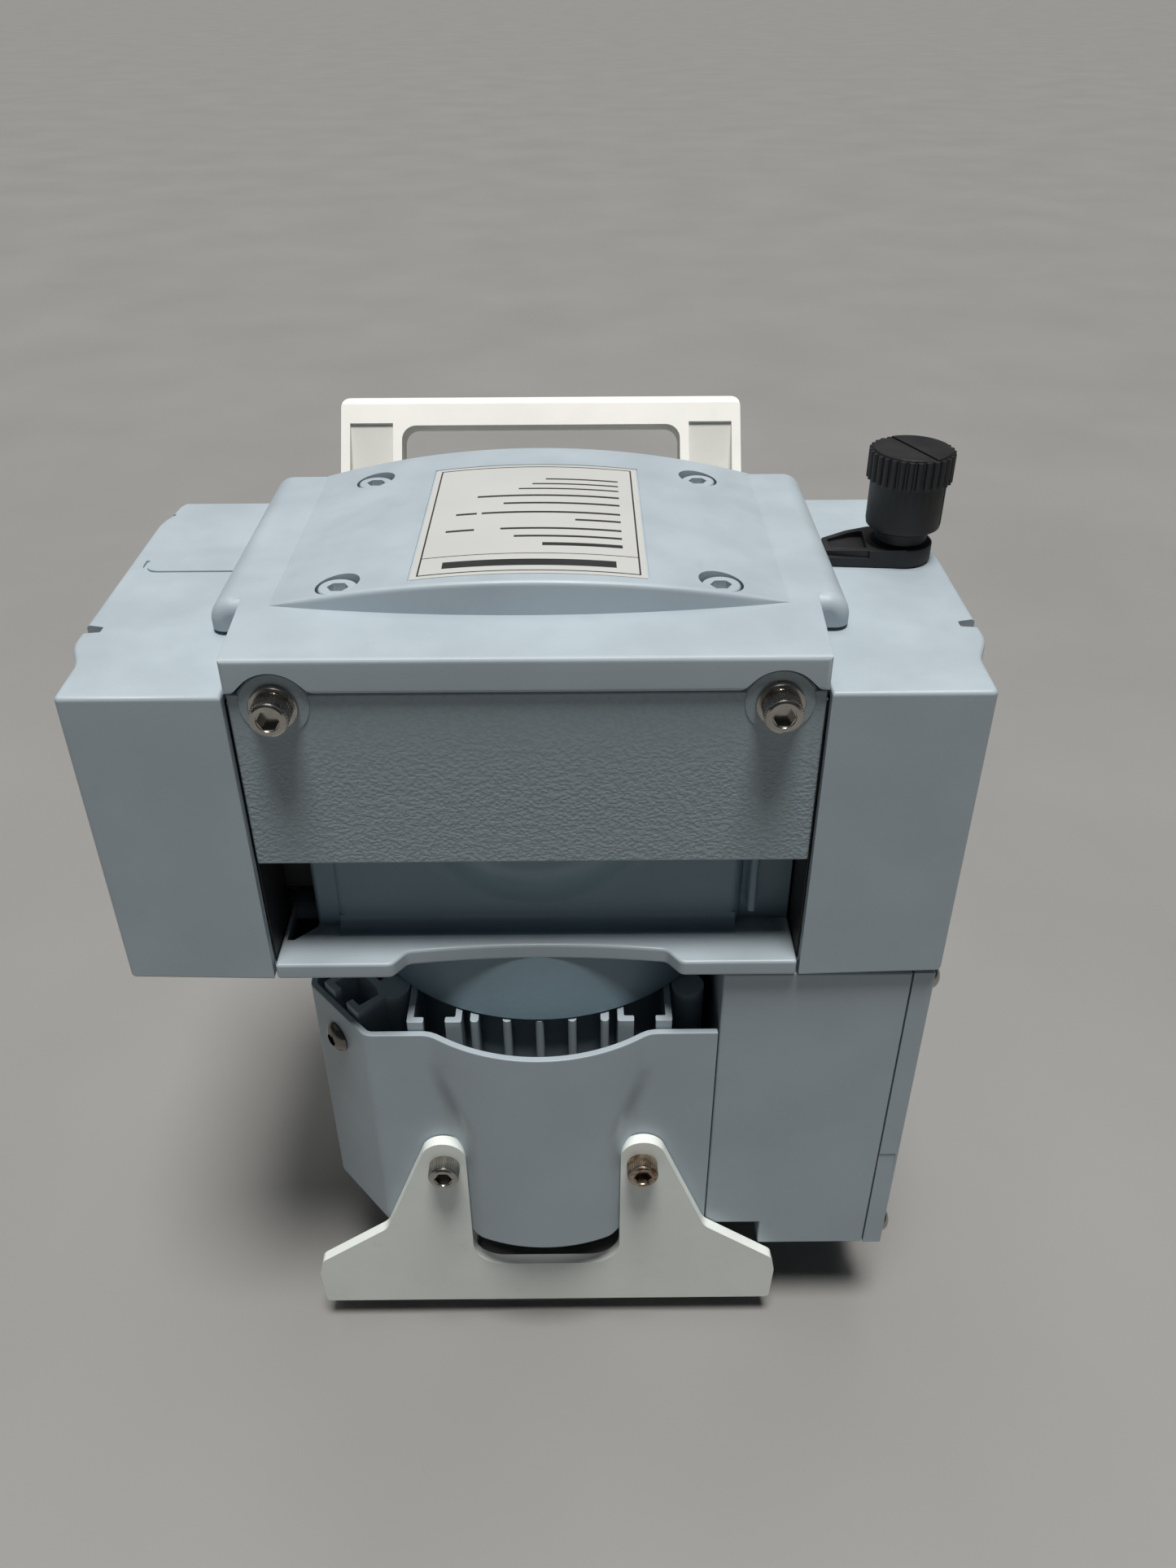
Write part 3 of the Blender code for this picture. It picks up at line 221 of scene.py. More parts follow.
def combine(body, meshes, operation):
    for bm in meshes:
        tool = solid("tool", bm)
        modifier = body.modifiers.new("combine", "BOOLEAN")
        modifier.object = tool
        modifier.operation = operation
        modifier.solver = "EXACT"
        apply_modifiers(body)
        bpy.data.objects.remove(tool)
    return body


def cut(body, *meshes):
    return combine(body, meshes, "DIFFERENCE")


def add(body, *meshes):
    return combine(body, meshes, "UNION")


def clean(body):
    """Join flat faces and very close points, which booleans leave."""
    bm = bmesh.new()
    bm.from_mesh(body.data)
    bmesh.ops.remove_doubles(bm, verts=bm.verts, dist=0.01 * MM)
    bmesh.ops.dissolve_limit(bm, angle_limit=math.radians(0.1), verts=bm.verts, edges=bm.edges)
    bm.to_mesh(body.data)
    bm.free()
    return body


def soften(body, width, segments=3, degrees=35):
    """Round the edges that are sharper than an angle."""
    clean(body)
    modifier = body.modifiers.new("soften", "BEVEL")
    modifier.width = width * MM
    modifier.segments = segments
    modifier.limit_method = "ANGLE"
    modifier.angle_limit = math.radians(degrees)
    modifier.use_clamp_overlap = True
    apply_modifiers(body)
    return body


def shade(body, degrees=40):
    body.data.shade_smooth()
    body.data.set_sharp_from_angle(angle=math.radians(degrees))
    modifier = body.modifiers.new("normals", "WEIGHTED_NORMAL")
    modifier.keep_sharp = True
    apply_modifiers(body)
    return body


def show(body, slot, replaces=(), rides="pump", material=None, degrees=40):
    shade(body, degrees)
    body.data.materials.clear()
    body.data.materials.append(FINISHES[material or slot])
    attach(body, rides)
    if replaces:
        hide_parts(*replaces)
    return body


def aimed(bm, at, direction):
    """Turn a mesh built along z at the origin to point along a direction, and move it to a place."""
    turn = Vector(direction).to_track_quat("Z", "Y").to_matrix().to_4x4()
    bmesh.ops.transform(bm, verts=bm.verts, matrix=Matrix.Translation(at) @ turn)
    return bm


# Materials

class Nodes:
    """Builds a Principled material's node tree."""

    def __init__(self, name, roughness, metallic=0.0):
        self.material = bpy.data.materials.new(name)
        self.material.use_nodes = True
        self.tree = self.material.node_tree
        self.shader = self.tree.nodes["Principled BSDF"]
        self.shader.inputs["Roughness"].default_value = roughness
        self.shader.inputs["Metallic"].default_value = metallic
        self.place = self.tree.nodes.new("ShaderNodeTexCoord").outputs["Object"]
        self.height = None

    def link(self, source, target):
        self.tree.links.new(source, target)

    def outputs(self, kind, **inputs):
        """The outputs of a new node. Each input is a constant or another node's output."""
        node = self.tree.nodes.new("ShaderNode" + kind)
        for name, value in inputs.items():
            socket = node.inputs[name.replace("_", " ")]
            if isinstance(value, bpy.types.NodeSocket):
                self.link(value, socket)
            else:
                socket.default_value = value
        return node.outputs

    def noise(self, size, detail=2.0, roughness=0.5, stretch=None):
        """Noise whose features are about `size` millimetres across."""
        place = self.place
        if stretch:
            place = self.outputs("Mapping", Scale=stretch, Vector=place)["Vector"]
        grain = {"Scale": 1 / (size * MM), "Detail": detail, "Roughness": roughness}
        return self.outputs("TexNoise", Vector=place, **grain)["Fac"]

    def remap(self, value, low, high, to_low=0.0, to_high=1.0):
        limits = {"From_Min": low, "From_Max": high, "To_Min": to_low, "To_Max": to_high}
        return self.outputs("MapRange", Value=value, **limits)["Result"]

    def by_height(self, low, high, at_low, at_high):
        """A value that goes from one number to another between two heights in millimetres."""
        height = self.outputs("SeparateXYZ", Vector=self.place)["Z"]
        return self.remap(height, low * MM, high * MM, at_low, at_high)

    def mix(self, share, a, b):
        """Mix two colours, each a tuple or a node's output."""
        node = self.tree.nodes.new("ShaderNodeMix")
        node.data_type = "RGBA"
        self.link(share, node.inputs["Factor"])
        for socket, colour in zip([s for s in node.inputs if s.type == "RGBA"], (a, b)):
            if isinstance(colour, tuple):
                socket.default_value = (*colour, 1.0)
            else:
                self.link(colour, socket)
        return [s for s in node.outputs if s.type == "RGBA"][0]

    def colour(self, output):
        self.link(output, self.shader.inputs["Base Color"])

    def roughness(self, value, smooth, rough):
        self.link(self.remap(value, 0.3, 0.7, smooth, rough), self.shader.inputs["Roughness"])

    def bump(self, height, distance):
        """Add relief of a depth in millimetres. Each call builds on the last."""
        inputs = {"Distance": distance * MM, "Strength": 1.0, "Height": height}
        if self.height:
            inputs["Normal"] = self.height
        self.height = self.outputs("Bump", **inputs)["Normal"]
        self.link(self.height, self.shader.inputs["Normal"])


def shaded(colour, factor):
    return tuple(c * factor for c in colour)


def paint(name, colour, roughness=0.42, pebble=(1.1, 0.02), grime=0.10):
    """Powder coat: a slight orange peel, soft blotches, small scuffs and a little dust."""
    made = Nodes(name, roughness)
    blotch = made.remap(made.noise(28, 3), 0.35, 0.65)
    base = made.mix(blotch, shaded(colour, 1 - grime / 2), shaded(colour, 1 + grime / 3))
    speck = made.remap(made.noise(1.6, 4, 0.7), 0.66, 0.72)
    base = made.mix(speck, base, shaded(colour, 1.12))
    dirt = made.remap(made.noise(9, 5, 0.65), 0.62, 0.80, 0.0, 0.30)
    made.colour(made.mix(dirt, base, shaded(colour, 0.72)))
    made.roughness(made.noise(14, 4), roughness - 0.07, roughness + 0.09)
    made.bump(made.noise(pebble[0], 2), pebble[1])
    made.bump(made.noise(pebble[0] / 4, 2), pebble[1] / 4)
    return made.material


def hammered(name, colour):
    """Paint over the leathery skin of a casting, which is smoother near the panel's top."""
    made = Nodes(name, 0.46)
    pebble = made.remap(made.noise(0.95, 1.0, 0.4, (0.85, 1.0, 1.1)), 0.36, 0.64)
    made.colour(made.mix(pebble, shaded(colour, 0.96), shaded(colour, 1.04)))
    relief = made.by_height(228, 250, 1.0, 0.15)
    made.bump(made.remap(pebble, 0.0, 1.0, 0.0, relief), 0.12)
    made.bump(made.noise(0.5, 2), 0.02)
    made.roughness(made.noise(12, 3), 0.38, 0.50)
    return made.material


def metal(name, colour, roughness, tarnish=None, tarnish_from=0.6, grain=None, relief=0.006):
    """Bare metal with a fine grain, smudges, and where given, brown tarnish."""
    made = Nodes(name, roughness, 1.0)
    smudge = made.remap(made.noise(5, 4), 0.35, 0.7)
    base = made.mix(smudge, colour, shaded(colour, 0.82))
    if tarnish:
        stain = made.remap(made.noise(3.5, 5, 0.65), tarnish_from, tarnish_from + 0.12)
        base = made.mix(stain, base, tarnish)
    made.colour(base)
    made.roughness(made.noise(2.5, 4), roughness * 0.75, roughness * 1.5)
    made.bump(made.noise(0.5, 2, stretch=grain), relief)
    return made.material


def plastic(name, colour, roughness, grain=0.35, relief=0.01, variation=0.06):
    made = Nodes(name, roughness)
    share = made.remap(made.noise(20, 4), 0.35, 0.65)
    base = made.mix(share, shaded(colour, 1 - variation), shaded(colour, 1 + variation))
    dust = made.remap(made.noise(2.2, 5, 0.7), 0.66, 0.8, 0.0, 0.25)
    made.colour(made.mix(dust, base, tuple(0.75 * c + 0.06 for c in colour)))
    made.roughness(made.noise(9, 4), roughness - 0.06, roughness + 0.08)
    made.bump(made.noise(grain, 2), relief)
    return made.material


def windings(name):
    """Stacked laminations over varnished copper."""
    made = Nodes(name, 0.4, 0.8)
    layer = made.noise(1.2, 0, stretch=(0.02, 0.02, 1.0))
    made.colour(made.mix(made.remap(layer, 0.45, 0.55), (0.16, 0.15, 0.14), (0.34, 0.30, 0.26)))
    made.bump(layer, 0.05)
    return made.material


def brushed_plate(name, colour):
    """A printed metal foil with a faint grain along x."""
    made = Nodes(name, 0.42, 0.25)
    made.colour(made.mix(made.remap(made.noise(30, 2), 0.3, 0.7), colour, shaded(colour, 0.95)))
    made.bump(made.noise(0.4, 1, stretch=(0.05, 1, 1)), 0.001)
    return made.material


FINISHES = {name: kind(name, *settings) for name, kind, *settings in (
    ("pale_paint", paint, (0.36, 0.425, 0.47)),
    ("hammered_paint", hammered, (0.265, 0.325, 0.36)),
    # dark_paint is the body's paint darkened: painted shade for the casting's recess and flange under
    # the panel.
    ("dark_paint", paint, (0.18, 0.265, 0.32), 0.38, (1.6, 0.05)),
    ("aluminium", metal, (0.56, 0.59, 0.61), 0.38, None, 0.6, (1, 1, 0.15)),
    ("laminated_steel", windings),
    ("stainless_steel", metal, (0.44, 0.42, 0.39), 0.18, (0.24, 0.17, 0.11), 0.66),
    ("dark_steel", metal, (0.20, 0.18, 0.165), 0.25),
    ("tarnished_steel", metal, (0.42, 0.36, 0.29), 0.3, (0.20, 0.11, 0.06), 0.46),
    ("stand_paint", paint, (0.78, 0.83, 0.80), 0.36, (0.8, 0.008), 0.08),
    ("off_white_plastic", plastic, (0.80, 0.80, 0.76), 0.42, 0.6, 0.02, 0.03),
    ("black_plastic", plastic, (0.011, 0.011, 0.013), 0.5, 0.5, 0.015),
    ("rubber", plastic, (0.018, 0.018, 0.019), 0.75, 0.9, 0.03),
    ("ptfe", plastic, (0.78, 0.78, 0.74), 0.35, 1.0, 0.01, 0.03),
    ("silver_label", brushed_plate, (0.62, 0.63, 0.62)),
    ("label_ink", plastic, (0.02, 0.02, 0.022), 0.5, 0.6, 0.004),
)}


# Side covers

def side_outline():
    """Plan of the right cover, without its groove."""
    inner, outer = node_span("side_cover_right", "x")
    rear = node_span("side_cover_right", "y")[1]
    depth, lean, swell_from, swell_length, steps = 4.4, 0.2, 15.5, 15.5, 12
    front = outer - depth
    swell = [(front + lean + (depth - lean) * eased(share), swell_from + swell_length * share)
             for share in shares(steps)]
    tail = ((0, 110.5), (0.8, 115.5), (2.0, 118.6), (2.0, 120.2), (2.6, 127.0), (4.0, rear))
    taper = [(outer - inset, y) for inset, y in tail]
    return [(inner, 0), (front, 0)] + swell + taper + [(inner, rear)]


def bevel_where(bm, chosen, offset, segments):
    """Round the edges whose two ends satisfy a test."""
    bmesh.ops.recalc_face_normals(bm, faces=bm.faces)
    edges = [e for e in bm.edges if all(chosen(v.co) for v in e.verts)]
    bmesh.ops.bevel(bm, geom=edges, offset=offset, segments=segments, profile=0.5,
                    affect="EDGES", clamp_overlap=True)
    return bm


def side_cover(side, word):
    """A moulded shell over a pump head. Its lower edge climbs a little outwards."""
    node = "side_cover_" + word
    inner, outer = node_span("side_cover_right", "x")
    low, top = node_span(node, "z")
    rear = node_span(node, "y")[1]
    wall, rise, past = 3.0, 1.4, 5
    bm = prism(side_outline(), low, top)
    for vert in bm.verts:
        if vert.co.z < low + 0.01:
            vert.co.z += rise * (vert.co.x - inner) / (outer - inner)
    bevel_where(bm, lambda p: p.y < 0.01 and p.x > outer - 5, 1.6, 4)
    bevel_where(bm, lambda p: p.z > top - 0.01, 1.3, 4)
    bevel_where(bm, lambda p: p.z < low + rise + 0.01, 0.8, 2)
    if side < 0:
        bmesh.ops.transform(bm, verts=bm.verts, matrix=Matrix.Diagonal((-1, 1, 1, 1)))
    body = clean(solid(node + "_shell", bm))
    x = sorted((side * (inner - past), side * (outer - 7.5)))
    cut(body, box(x, (wall, rear - wall), (low + wall, top - wall)))
    notch = [(outer - 5.2, 35.6), (outer + past, 34.2), (outer + past, 41.4), (outer - 5.2, 38.6)]
    groove = rectangle((outer - 3.4, outer + past), (118.6, 120.0))
    for outline in (rounded(notch, 0.6), groove):
        cut(body, prism(on_side(outline, side), low - 1, top + 1))
    port = node_middle("outlet_nozzle" if side > 0 else "inlet_nozzle")
    cut(body, rod((port.x, port.z), 6.6, rear - 6, rear + 2, "Y", 32))
    if side > 0:
        knob = node_middle("gas_ballast_knob")
        cut(body, rod((knob.x, knob.y), 5.2, top - 6, top + 2, steps=32))
    else:
        cut(body, blank_groove(top))
    show(soften(body, 0.35, 2, 55), "pale_paint", [node], degrees=50)


def blank_groove(top):
    """A shallow groove round the unused valve place on the left cover."""
    half, depth, radius = 0.55, 0.7, 5.0
    line_y, start_x, end_y = 74.8, -86, 83
    corner = (-112.5, line_y + radius)
    left = corner[0] - radius
    outer = [(start_x, line_y - half)] + arc(corner, radius + half, 270, 180, 8)
    inner = arc(corner, radius - half, 180, 270, 8) + [(start_x, line_y + half)]
    end = [(left - half, end_y), (left + half, end_y)]
    return prism(outer + end + inner, top - depth, top + 2)


# Top cover

LID_TOP = COVER_TOP + 10
APRON_HALF = (75.6, 77.9)
APRON_DEPTH = 33.0
DOME_HALF = 69.0
DOME_RISE = 9.0


def dome_height(x):
    radius = (DOME_HALF ** 2 + DOME_RISE ** 2) / (2 * DOME_RISE)
    return math.sqrt(max(radius ** 2 - x ** 2, 0)) - (radius - DOME_RISE)


def dome(rear):
    """The arched platform. Its front face bulges forward and its edges are rounded."""
    bm = bmesh.new()
    sections = []
    steps, fillet, low = 64, 1.4, LID_TOP - 2
    nearest, bulge, slope = 24.0, 6.5, 0.12
    for i in range(steps + 1):
        x = DOME_HALF * (2 * i / steps - 1)
        front = nearest + bulge * (x / DOME_HALF) ** 2
        rise = max(dome_height(x), 0.03)
        top = LID_TOP + rise
        size = min(fillet, rise * 0.6)
        lean = front + slope * rise
        edge = [(lean + size - size * math.cos(t), top - size + size * math.sin(t))
                for t in (math.pi / 2 * k / 4 for k in range(5))]
        ring = [(front, low), (front, LID_TOP)] + edge + [(rear, top), (rear, low)]
        sections.append([bm.verts.new((x, y, z)) for y, z in ring])
    loft(bm, sections)
    return bm


def lid_screws():
    return [name for name in sorted(frame["nodes"]) if name.startswith("top_cover_screw")]


def shoulder_block(half, low, rear):
    """The wide part of the top cover, with rounded long edges and a rounded nose."""
    radius, nose, tail, steps = 6.5, 4.0, 1.2, 6
    slices = []
    for k in range(steps + 1):
        turn = math.pi / 2 * k / steps
        slices.append((APRON_DEPTH + nose * (1 - math.cos(turn)), nose * (1 - math.sin(turn))))
    slices += [(rear - tail, 0), (rear - 0.3 * tail, 0.3 * tail), (rear, tail)]
    bm = bmesh.new()
    rings = []
    for y, inset in slices:
        shoulder = arc((half - radius, LID_TOP - radius), radius - inset, 0, 90, 10)
        section = [(half - inset, low)] + shoulder + flipped(shoulder) + [(inset - half, low)]
        rings.append([bm.verts.new((x, y, z)) for x, z in section])
    loft(bm, rings)
    return bm


def top_cover():
    """A hollow casting: an apron in front, wide shoulders, and the arched platform on top."""
    (_, half), (_, rear), (low, _) = node_box("top_cover")
    body = solid("top_cover_shell", shoulder_block(half, low, rear))
    near, far = APRON_HALF
    back = APRON_DEPTH + 8
    slab = prism([(-near, 0), (near, 0), (far, back), (-far, back)], low, LID_TOP)
    bevel_where(slab, lambda p: p.y < 0.01 and abs(p.x) > near - 0.01, 1.2, 3)
    bevel_where(slab, lambda p: p.z > LID_TOP - 0.01, 1.8, 4)
    add(body, slab, dome(rear - 0.6))
    wall, ceiling = 3.5, LID_TOP - 4
    cut(body, box(around(0, half - wall), (APRON_DEPTH + 3, rear - 3), (low - 2, ceiling)))
    cut(body, box(around(0, near - wall), (wall, APRON_DEPTH + 5), (low - 2, ceiling)))
    for name in lid_screws():
        at = node_middle(name)
        cut(body, rod((at.x, at.y), 6.1, ceiling + 0.3, LID_TOP + 12, steps=40))
    screw = node_middle("panel_screw_right")
    undercut = (APRON_DEPTH - 2, APRON_DEPTH + 3.5)
    for side, _ in SIDES:
        cut(body, arch((side * screw.x, screw.z), 9.8, low))
        cut(body, box(sorted((side * 78.4, side * 88)), undercut, (low - 1, low + 0.9)))
    margin, depth = 0.5, 0.35
    label_x, label_y = [(a - margin, b + margin) for a, b in node_box("label_plate")[:2]]
    cut(body, arched(label_x, label_y, -depth, 4))
    show(soften(body, 0.45, 2, 50), "pale_paint", ["top_cover"], degrees=50)
    for name in lid_screws():
        lid_screw(name)


def arch(centre, radius, low):
    """A cutter for an arch over a round boss, with soft feet, in the apron's front."""
    x = centre[0]
    foot = radius * math.sqrt(2) - (low - centre[1])
    reach, edge, soft = 20, low - 0.01, 3.5
    before = [(x - reach, low - 2), (x - reach, edge), (x - foot, edge)]
    over = arc(centre, radius, 135, 45, 24)
    after = [(x + foot, edge), (x + reach, edge), (x + reach, low - 2)]
    radii = [0, 0, soft] + [0] * len(over) + [soft, 0, 0]
    return prism(rounded(before + over + after, radii, 8), -2, 6.5, "Y")


def hexagon(radius):
    return circle((0, 0), radius, 6)


def lid_screw(node):
    """A painted socket screw, sunk in the top cover."""
    at = node_middle(node)
    low, top = node_span(node, "z")
    seat, crown = top - 5.6, top + 1.1
    profile = [(0, low), (2.9, low), (2.9, seat), (5.0, seat), (5.4, seat + 0.5),
               (5.4, crown - 0.7), (5.1, crown - 0.2), (4.6, crown), (0, crown)]
    body = solid(node + "_painted", turned(profile, (at.x, at.y), steps=40))
    cut(body, aimed(prism(hexagon(2.9), -3.4, 1), (at.x, at.y, crown), (0, 0, 1)))
    show(soften(body, 0.15, 2, 50), "pale_paint", [node])


def arched(x, y, below, above):
    """A slab that follows the dome's arch, between two heights over it."""
    bm = bmesh.new()
    columns = 20
    sections = []
    for i in range(columns + 1):
        at = x[0] + (x[1] - x[0]) * i / columns
        top = LID_TOP + dome_height(at)
        corners = rectangle(y, (top + below, top + above))
        sections.append([bm.verts.new((at, b, c)) for b, c in corners])
    loft(bm, sections)
    return bm


def label():
    """A plain silver foil with a frame line and blank entry lines, in place of the maker's text."""
    x, y, _ = node_box("label_plate")
    show(solid("label_sheet", arched(x, y, -0.3, -0.05)), "silver_label", ["label_plate"])
    print_on_label("label_frame", frame_bars(x, y, 1.6, 0.45))
    print_on_label("label_lines", entry_bars(x, y))


def print_on_label(name, bars):
    first, *others = [arched(x, y, -0.06, 0.0) for x, y in bars]
    show(add(solid(name, first), *others), "silver_label", material="label_ink")


def frame_bars(x, y, inset, width):
    """The bars of a thin rectangular frame, and of the line under the title."""
    (left, right), (near, far) = [(a + inset, b - inset) for a, b in (x, y)]
    rule = y[0] + 12.6
    return [((left, right), (near, near + width)), ((left, right), (far - width, far)),
            ((left, left + width), (near, far)), ((right - width, right), (near, far)),
            ((left, right), (rule, rule + 0.3))]


def entry_bars(x, y):
    """Rows of plain bars where a plate has its data. A row is its distance, length and height."""
    rows = ((19.0, 22, 2.0), (24.5, 30, 1.2), (30.0, 34, 1.2), (36.5, 13, 1.2), (42.0, 40, 1.2),
            (49.0, 34, 1.2), (55.0, 42, 1.2), (60.5, 30, 0.9), (64.5, 26, 0.9), (68.5, 22, 0.9))
    right, left = x[1] - 6, x[0] + 6
    bars = [((right - length, right), around(y[0] + down, height / 2)) for down, length, height in rows]
    for down, start, length in ((30.0, 1, 8), (42.0, 3, 6)):
        bars.append(((left + start, left + start + length), around(y[0] + down, 0.6)))
    return bars + [((x[0] + 8, x[1] - 8), (y[0] + 5, y[0] + 9))]


# Front panel and screws

def front_panel():
    """A cast panel with an ear round each screw and a turned seat under each washer."""
    x, y, z = node_box("front_panel")
    screw = node_middle("panel_screw_right")
    boss, top = 9.3, COVER_TOP - GAP
    lean = math.degrees(math.asin((top - screw.z) / boss))
    right = arc((screw.x, screw.z), boss, lean, 180 - lean, 32)
    outline = [(x[0], z[0]), (x[1], z[0]), (x[1], top)] + right + flipped(right) + [(x[0], top)]
    body = solid("front_panel_cast", prism(outline, *y, "Y"))
    screw_holes(body, "panel_screw", 3.3, -2, 8, 24)
    show(soften(body, 0.7, 3, 50), "hammered_paint", ["front_panel"])
    base, face = y[0] - 0.05, y[0] - 0.3
    ring = [(3.4, base), (9.0, base), (8.8, face), (3.4, face)]
    for side, word in SIDES:
        disc = turned(ring, (side * screw.x, screw.z), "Y", 64, ring=True)
        show(solid("panel_seat_" + word, disc), "hammered_paint")


def screw_holes(body, pair, radius, low, high, steps=32):
    """Cut a hole along y for both screws of a mirrored pair."""
    screw = node_middle(pair + "_right")
    for side, _ in SIDES:
        cut(body, rod((side * screw.x, screw.z), radius, low, high, "Y", steps))


def socket_screw(node, seat, facing, head, shank, washer=None, material=None):
    """A knurled socket head screw along y. Its head, shank and washer each give radius and height."""
    radius, height = head
    low = washer[1] if washer else 0.0
    top = low + height
    middle = node_middle(node)

    def placed(bm):
        return aimed(bm, (middle.x, seat, middle.z), (0, facing, 0))

    outline = []
    ribs, valley, core = 36, radius - 0.18, radius - 0.25
    for i in range(ribs):
        for share, r in ((0.0, radius), (0.3, radius), (0.5, valley), (0.8, valley)):
            turn = math.tau * (i + share) / ribs
            outline.append((r * math.cos(turn), r * math.sin(turn)))
    body = solid(node + "_head", placed(prism(outline, low + 0.3, top - 0.9)))
    crown = [(0, low), (radius - 0.5, low), (core, low + 0.3), (core, top - 0.9),
             (radius - 0.35, top - 0.35), (radius - 0.9, top), (0, top)]
    stem = [(0, -shank[1]), (shank[0], -shank[1]), (shank[0], low + 0.5), (0, low + 0.5)]
    add(body, placed(turned(crown, (0, 0), steps=48)), placed(turned(stem, (0, 0), steps=24)))
    socket = 0.58 * radius
    mouth = [(0, top - 0.6), (socket, top - 0.25), (0.66 * radius, top + 0.5), (0, top + 0.5)]
    cut(body, placed(prism(hexagon(socket), low + 0.5 * height, top + 1)))
    cut(body, placed(turned(mouth, (0, 0), steps=32)))
    show(body, "stainless_steel", [node], material=material, degrees=32)
    if washer:
        inner, outer, edge = shank[0] + 0.2, washer[0], 0.2
        ring = [(inner, 0), (outer - edge, 0), (outer, edge), (outer, low - edge), (outer - edge, low),
                (inner, low)]
        made = solid(node + "_head_washer", placed(turned(ring, (0, 0), steps=48, ring=True)))
        show(made, "stainless_steel", material=material)


def button_screw(node, at, direction, head, shank, material=None):
    """A domed screw. Its head and shank each give radius and height."""
    radius, height = head
    crown = [(radius * math.cos(t), height * math.sin(t)) for t in (0.25, 0.5, 0.75, 1.0, 1.25)]
    profile = [(0, -shank[1]), (shank[0], -shank[1]), (shank[0], 0), (radius - 0.2, 0), (radius, 0.15)]
    profile += crown + [(0, height)]
    body = solid(node + "_head", aimed(turned(profile, (0, 0), steps=40), at, direction))
    cut(body, aimed(prism(hexagon(0.45 * radius), 0.35 * height, height + 1), at, direction))
    show(body, "stainless_steel", [node], material=material, degrees=35)


def screws():
    panel_seat = node_span("front_panel", "y")[0] - 0.3
    for _, word in SIDES:
        socket_screw("panel_screw_" + word, panel_seat, -1, (5.0, 5.8), (2.9, 16.5), (6.2, 1.9))
        handle_screw, handle_head = "handle_screw_" + word, (4.4, 4.5)
        seat = node_span(handle_screw, "y")[1] - handle_head[1]
        socket_screw(handle_screw, seat, 1, handle_head, (2.4, 18.0))
        brown = "tarnished_steel" if word == "right" else None
        head, shank = (5.0, 6.0), (2.9, 13.0)
        front, rear = "bracket_screw_front_" + word, "bracket_screw_rear_" + word
        socket_screw(front, node_span(front, "y")[0] + head[1], -1, head, shank, material=brown)
        socket_screw(rear, node_span(rear, "y")[1] - head[1], 1, head, shank)
    for word in ("lower", "upper"):
        node = "lid_screw_" + word
        at = node_middle(node)
        seat = node_span(node, "x")[1] - 2.3
        button_screw(node, (seat, at.y, at.z), (1, 0, 0), (4.2, 2.9), (1.2, 12.0))


# Drive housing and motor

def shelf_outline(half, rear):
    """Plan of the shelf under the pump block, with a soft recess in the middle of its front."""
    right = [(half, rear), (half, 0), (42.0, 0), (38.0, 5.5)]
    middle = [(x, 5.4 + 2.5 * (1 - (x / 38.5) ** 2)) for x in range(35, -36, -7)]
    radii = [0, 1.0, 3.0, 3.0]
    return rounded(right + middle + flipped(right), radii + [0] * len(middle) + radii[::-1], 5)


def block_foot(shelf_top):
    """The hollow curve between the block's front wall and the shelf."""
    wall, radius = 17.0, 4.5
    curve = arc((wall - radius, shelf_top + radius), radius, 270, 360, 8)
    back = [(20, shelf_top + radius), (20, shelf_top - 1)]
    return prism([(wall - radius, shelf_top - 1)] + curve + back, -59, 59, "X")


def bearing_boss():
    """A soft round swelling on the block's front."""
    flat, radius, front, wall, steps = 22.0, 43.0, 8.4, 17.1, 12
    slope = [(flat + (radius - flat) * share, front + (wall - front) * eased(share))
             for share in shares(steps)]
    return turned([(0, front)] + slope + [(radius, 20), (0, 20)], (0, 221.0), "Y", 96)


def front_wall(low, high):
    """Wings of the block's front wall, and the rib on its right."""
    left = prism(rounded(rectangle((-66, -58), (17.6, 24)), [1.5, 0, 0, 0.5]), low, high)
    right = box((58, 75.1), (19.5, 23), (low, high))
    rib = rounded(rectangle((62, 64.4), (13, 21)), [1, 1, 0, 0])
    return left, right, prism(rib, low + 9, high - 0.5)


def drive_shelf(half, rear, top):
    hole = [(-74.1, 11), (-72, 11), (-66, 17), (-66, 25), (-74.1, 25)]
    body = solid("drive_shelf", prism(shelf_outline(half, rear), COVER_LOW, top))
    soften(body, 1.3, 4, 60)
    cut(body, prism(hole, COVER_LOW - 2, top + 2))
    cut(body, rod((0, SHAFT_Y), 30, COVER_LOW - 2, top + 2))
    # The shelf keeps the body's pale paint; the darker paint on the rest of the casting is painted
    # shade.
    show(body, "dark_paint", material="pale_paint", degrees=45)


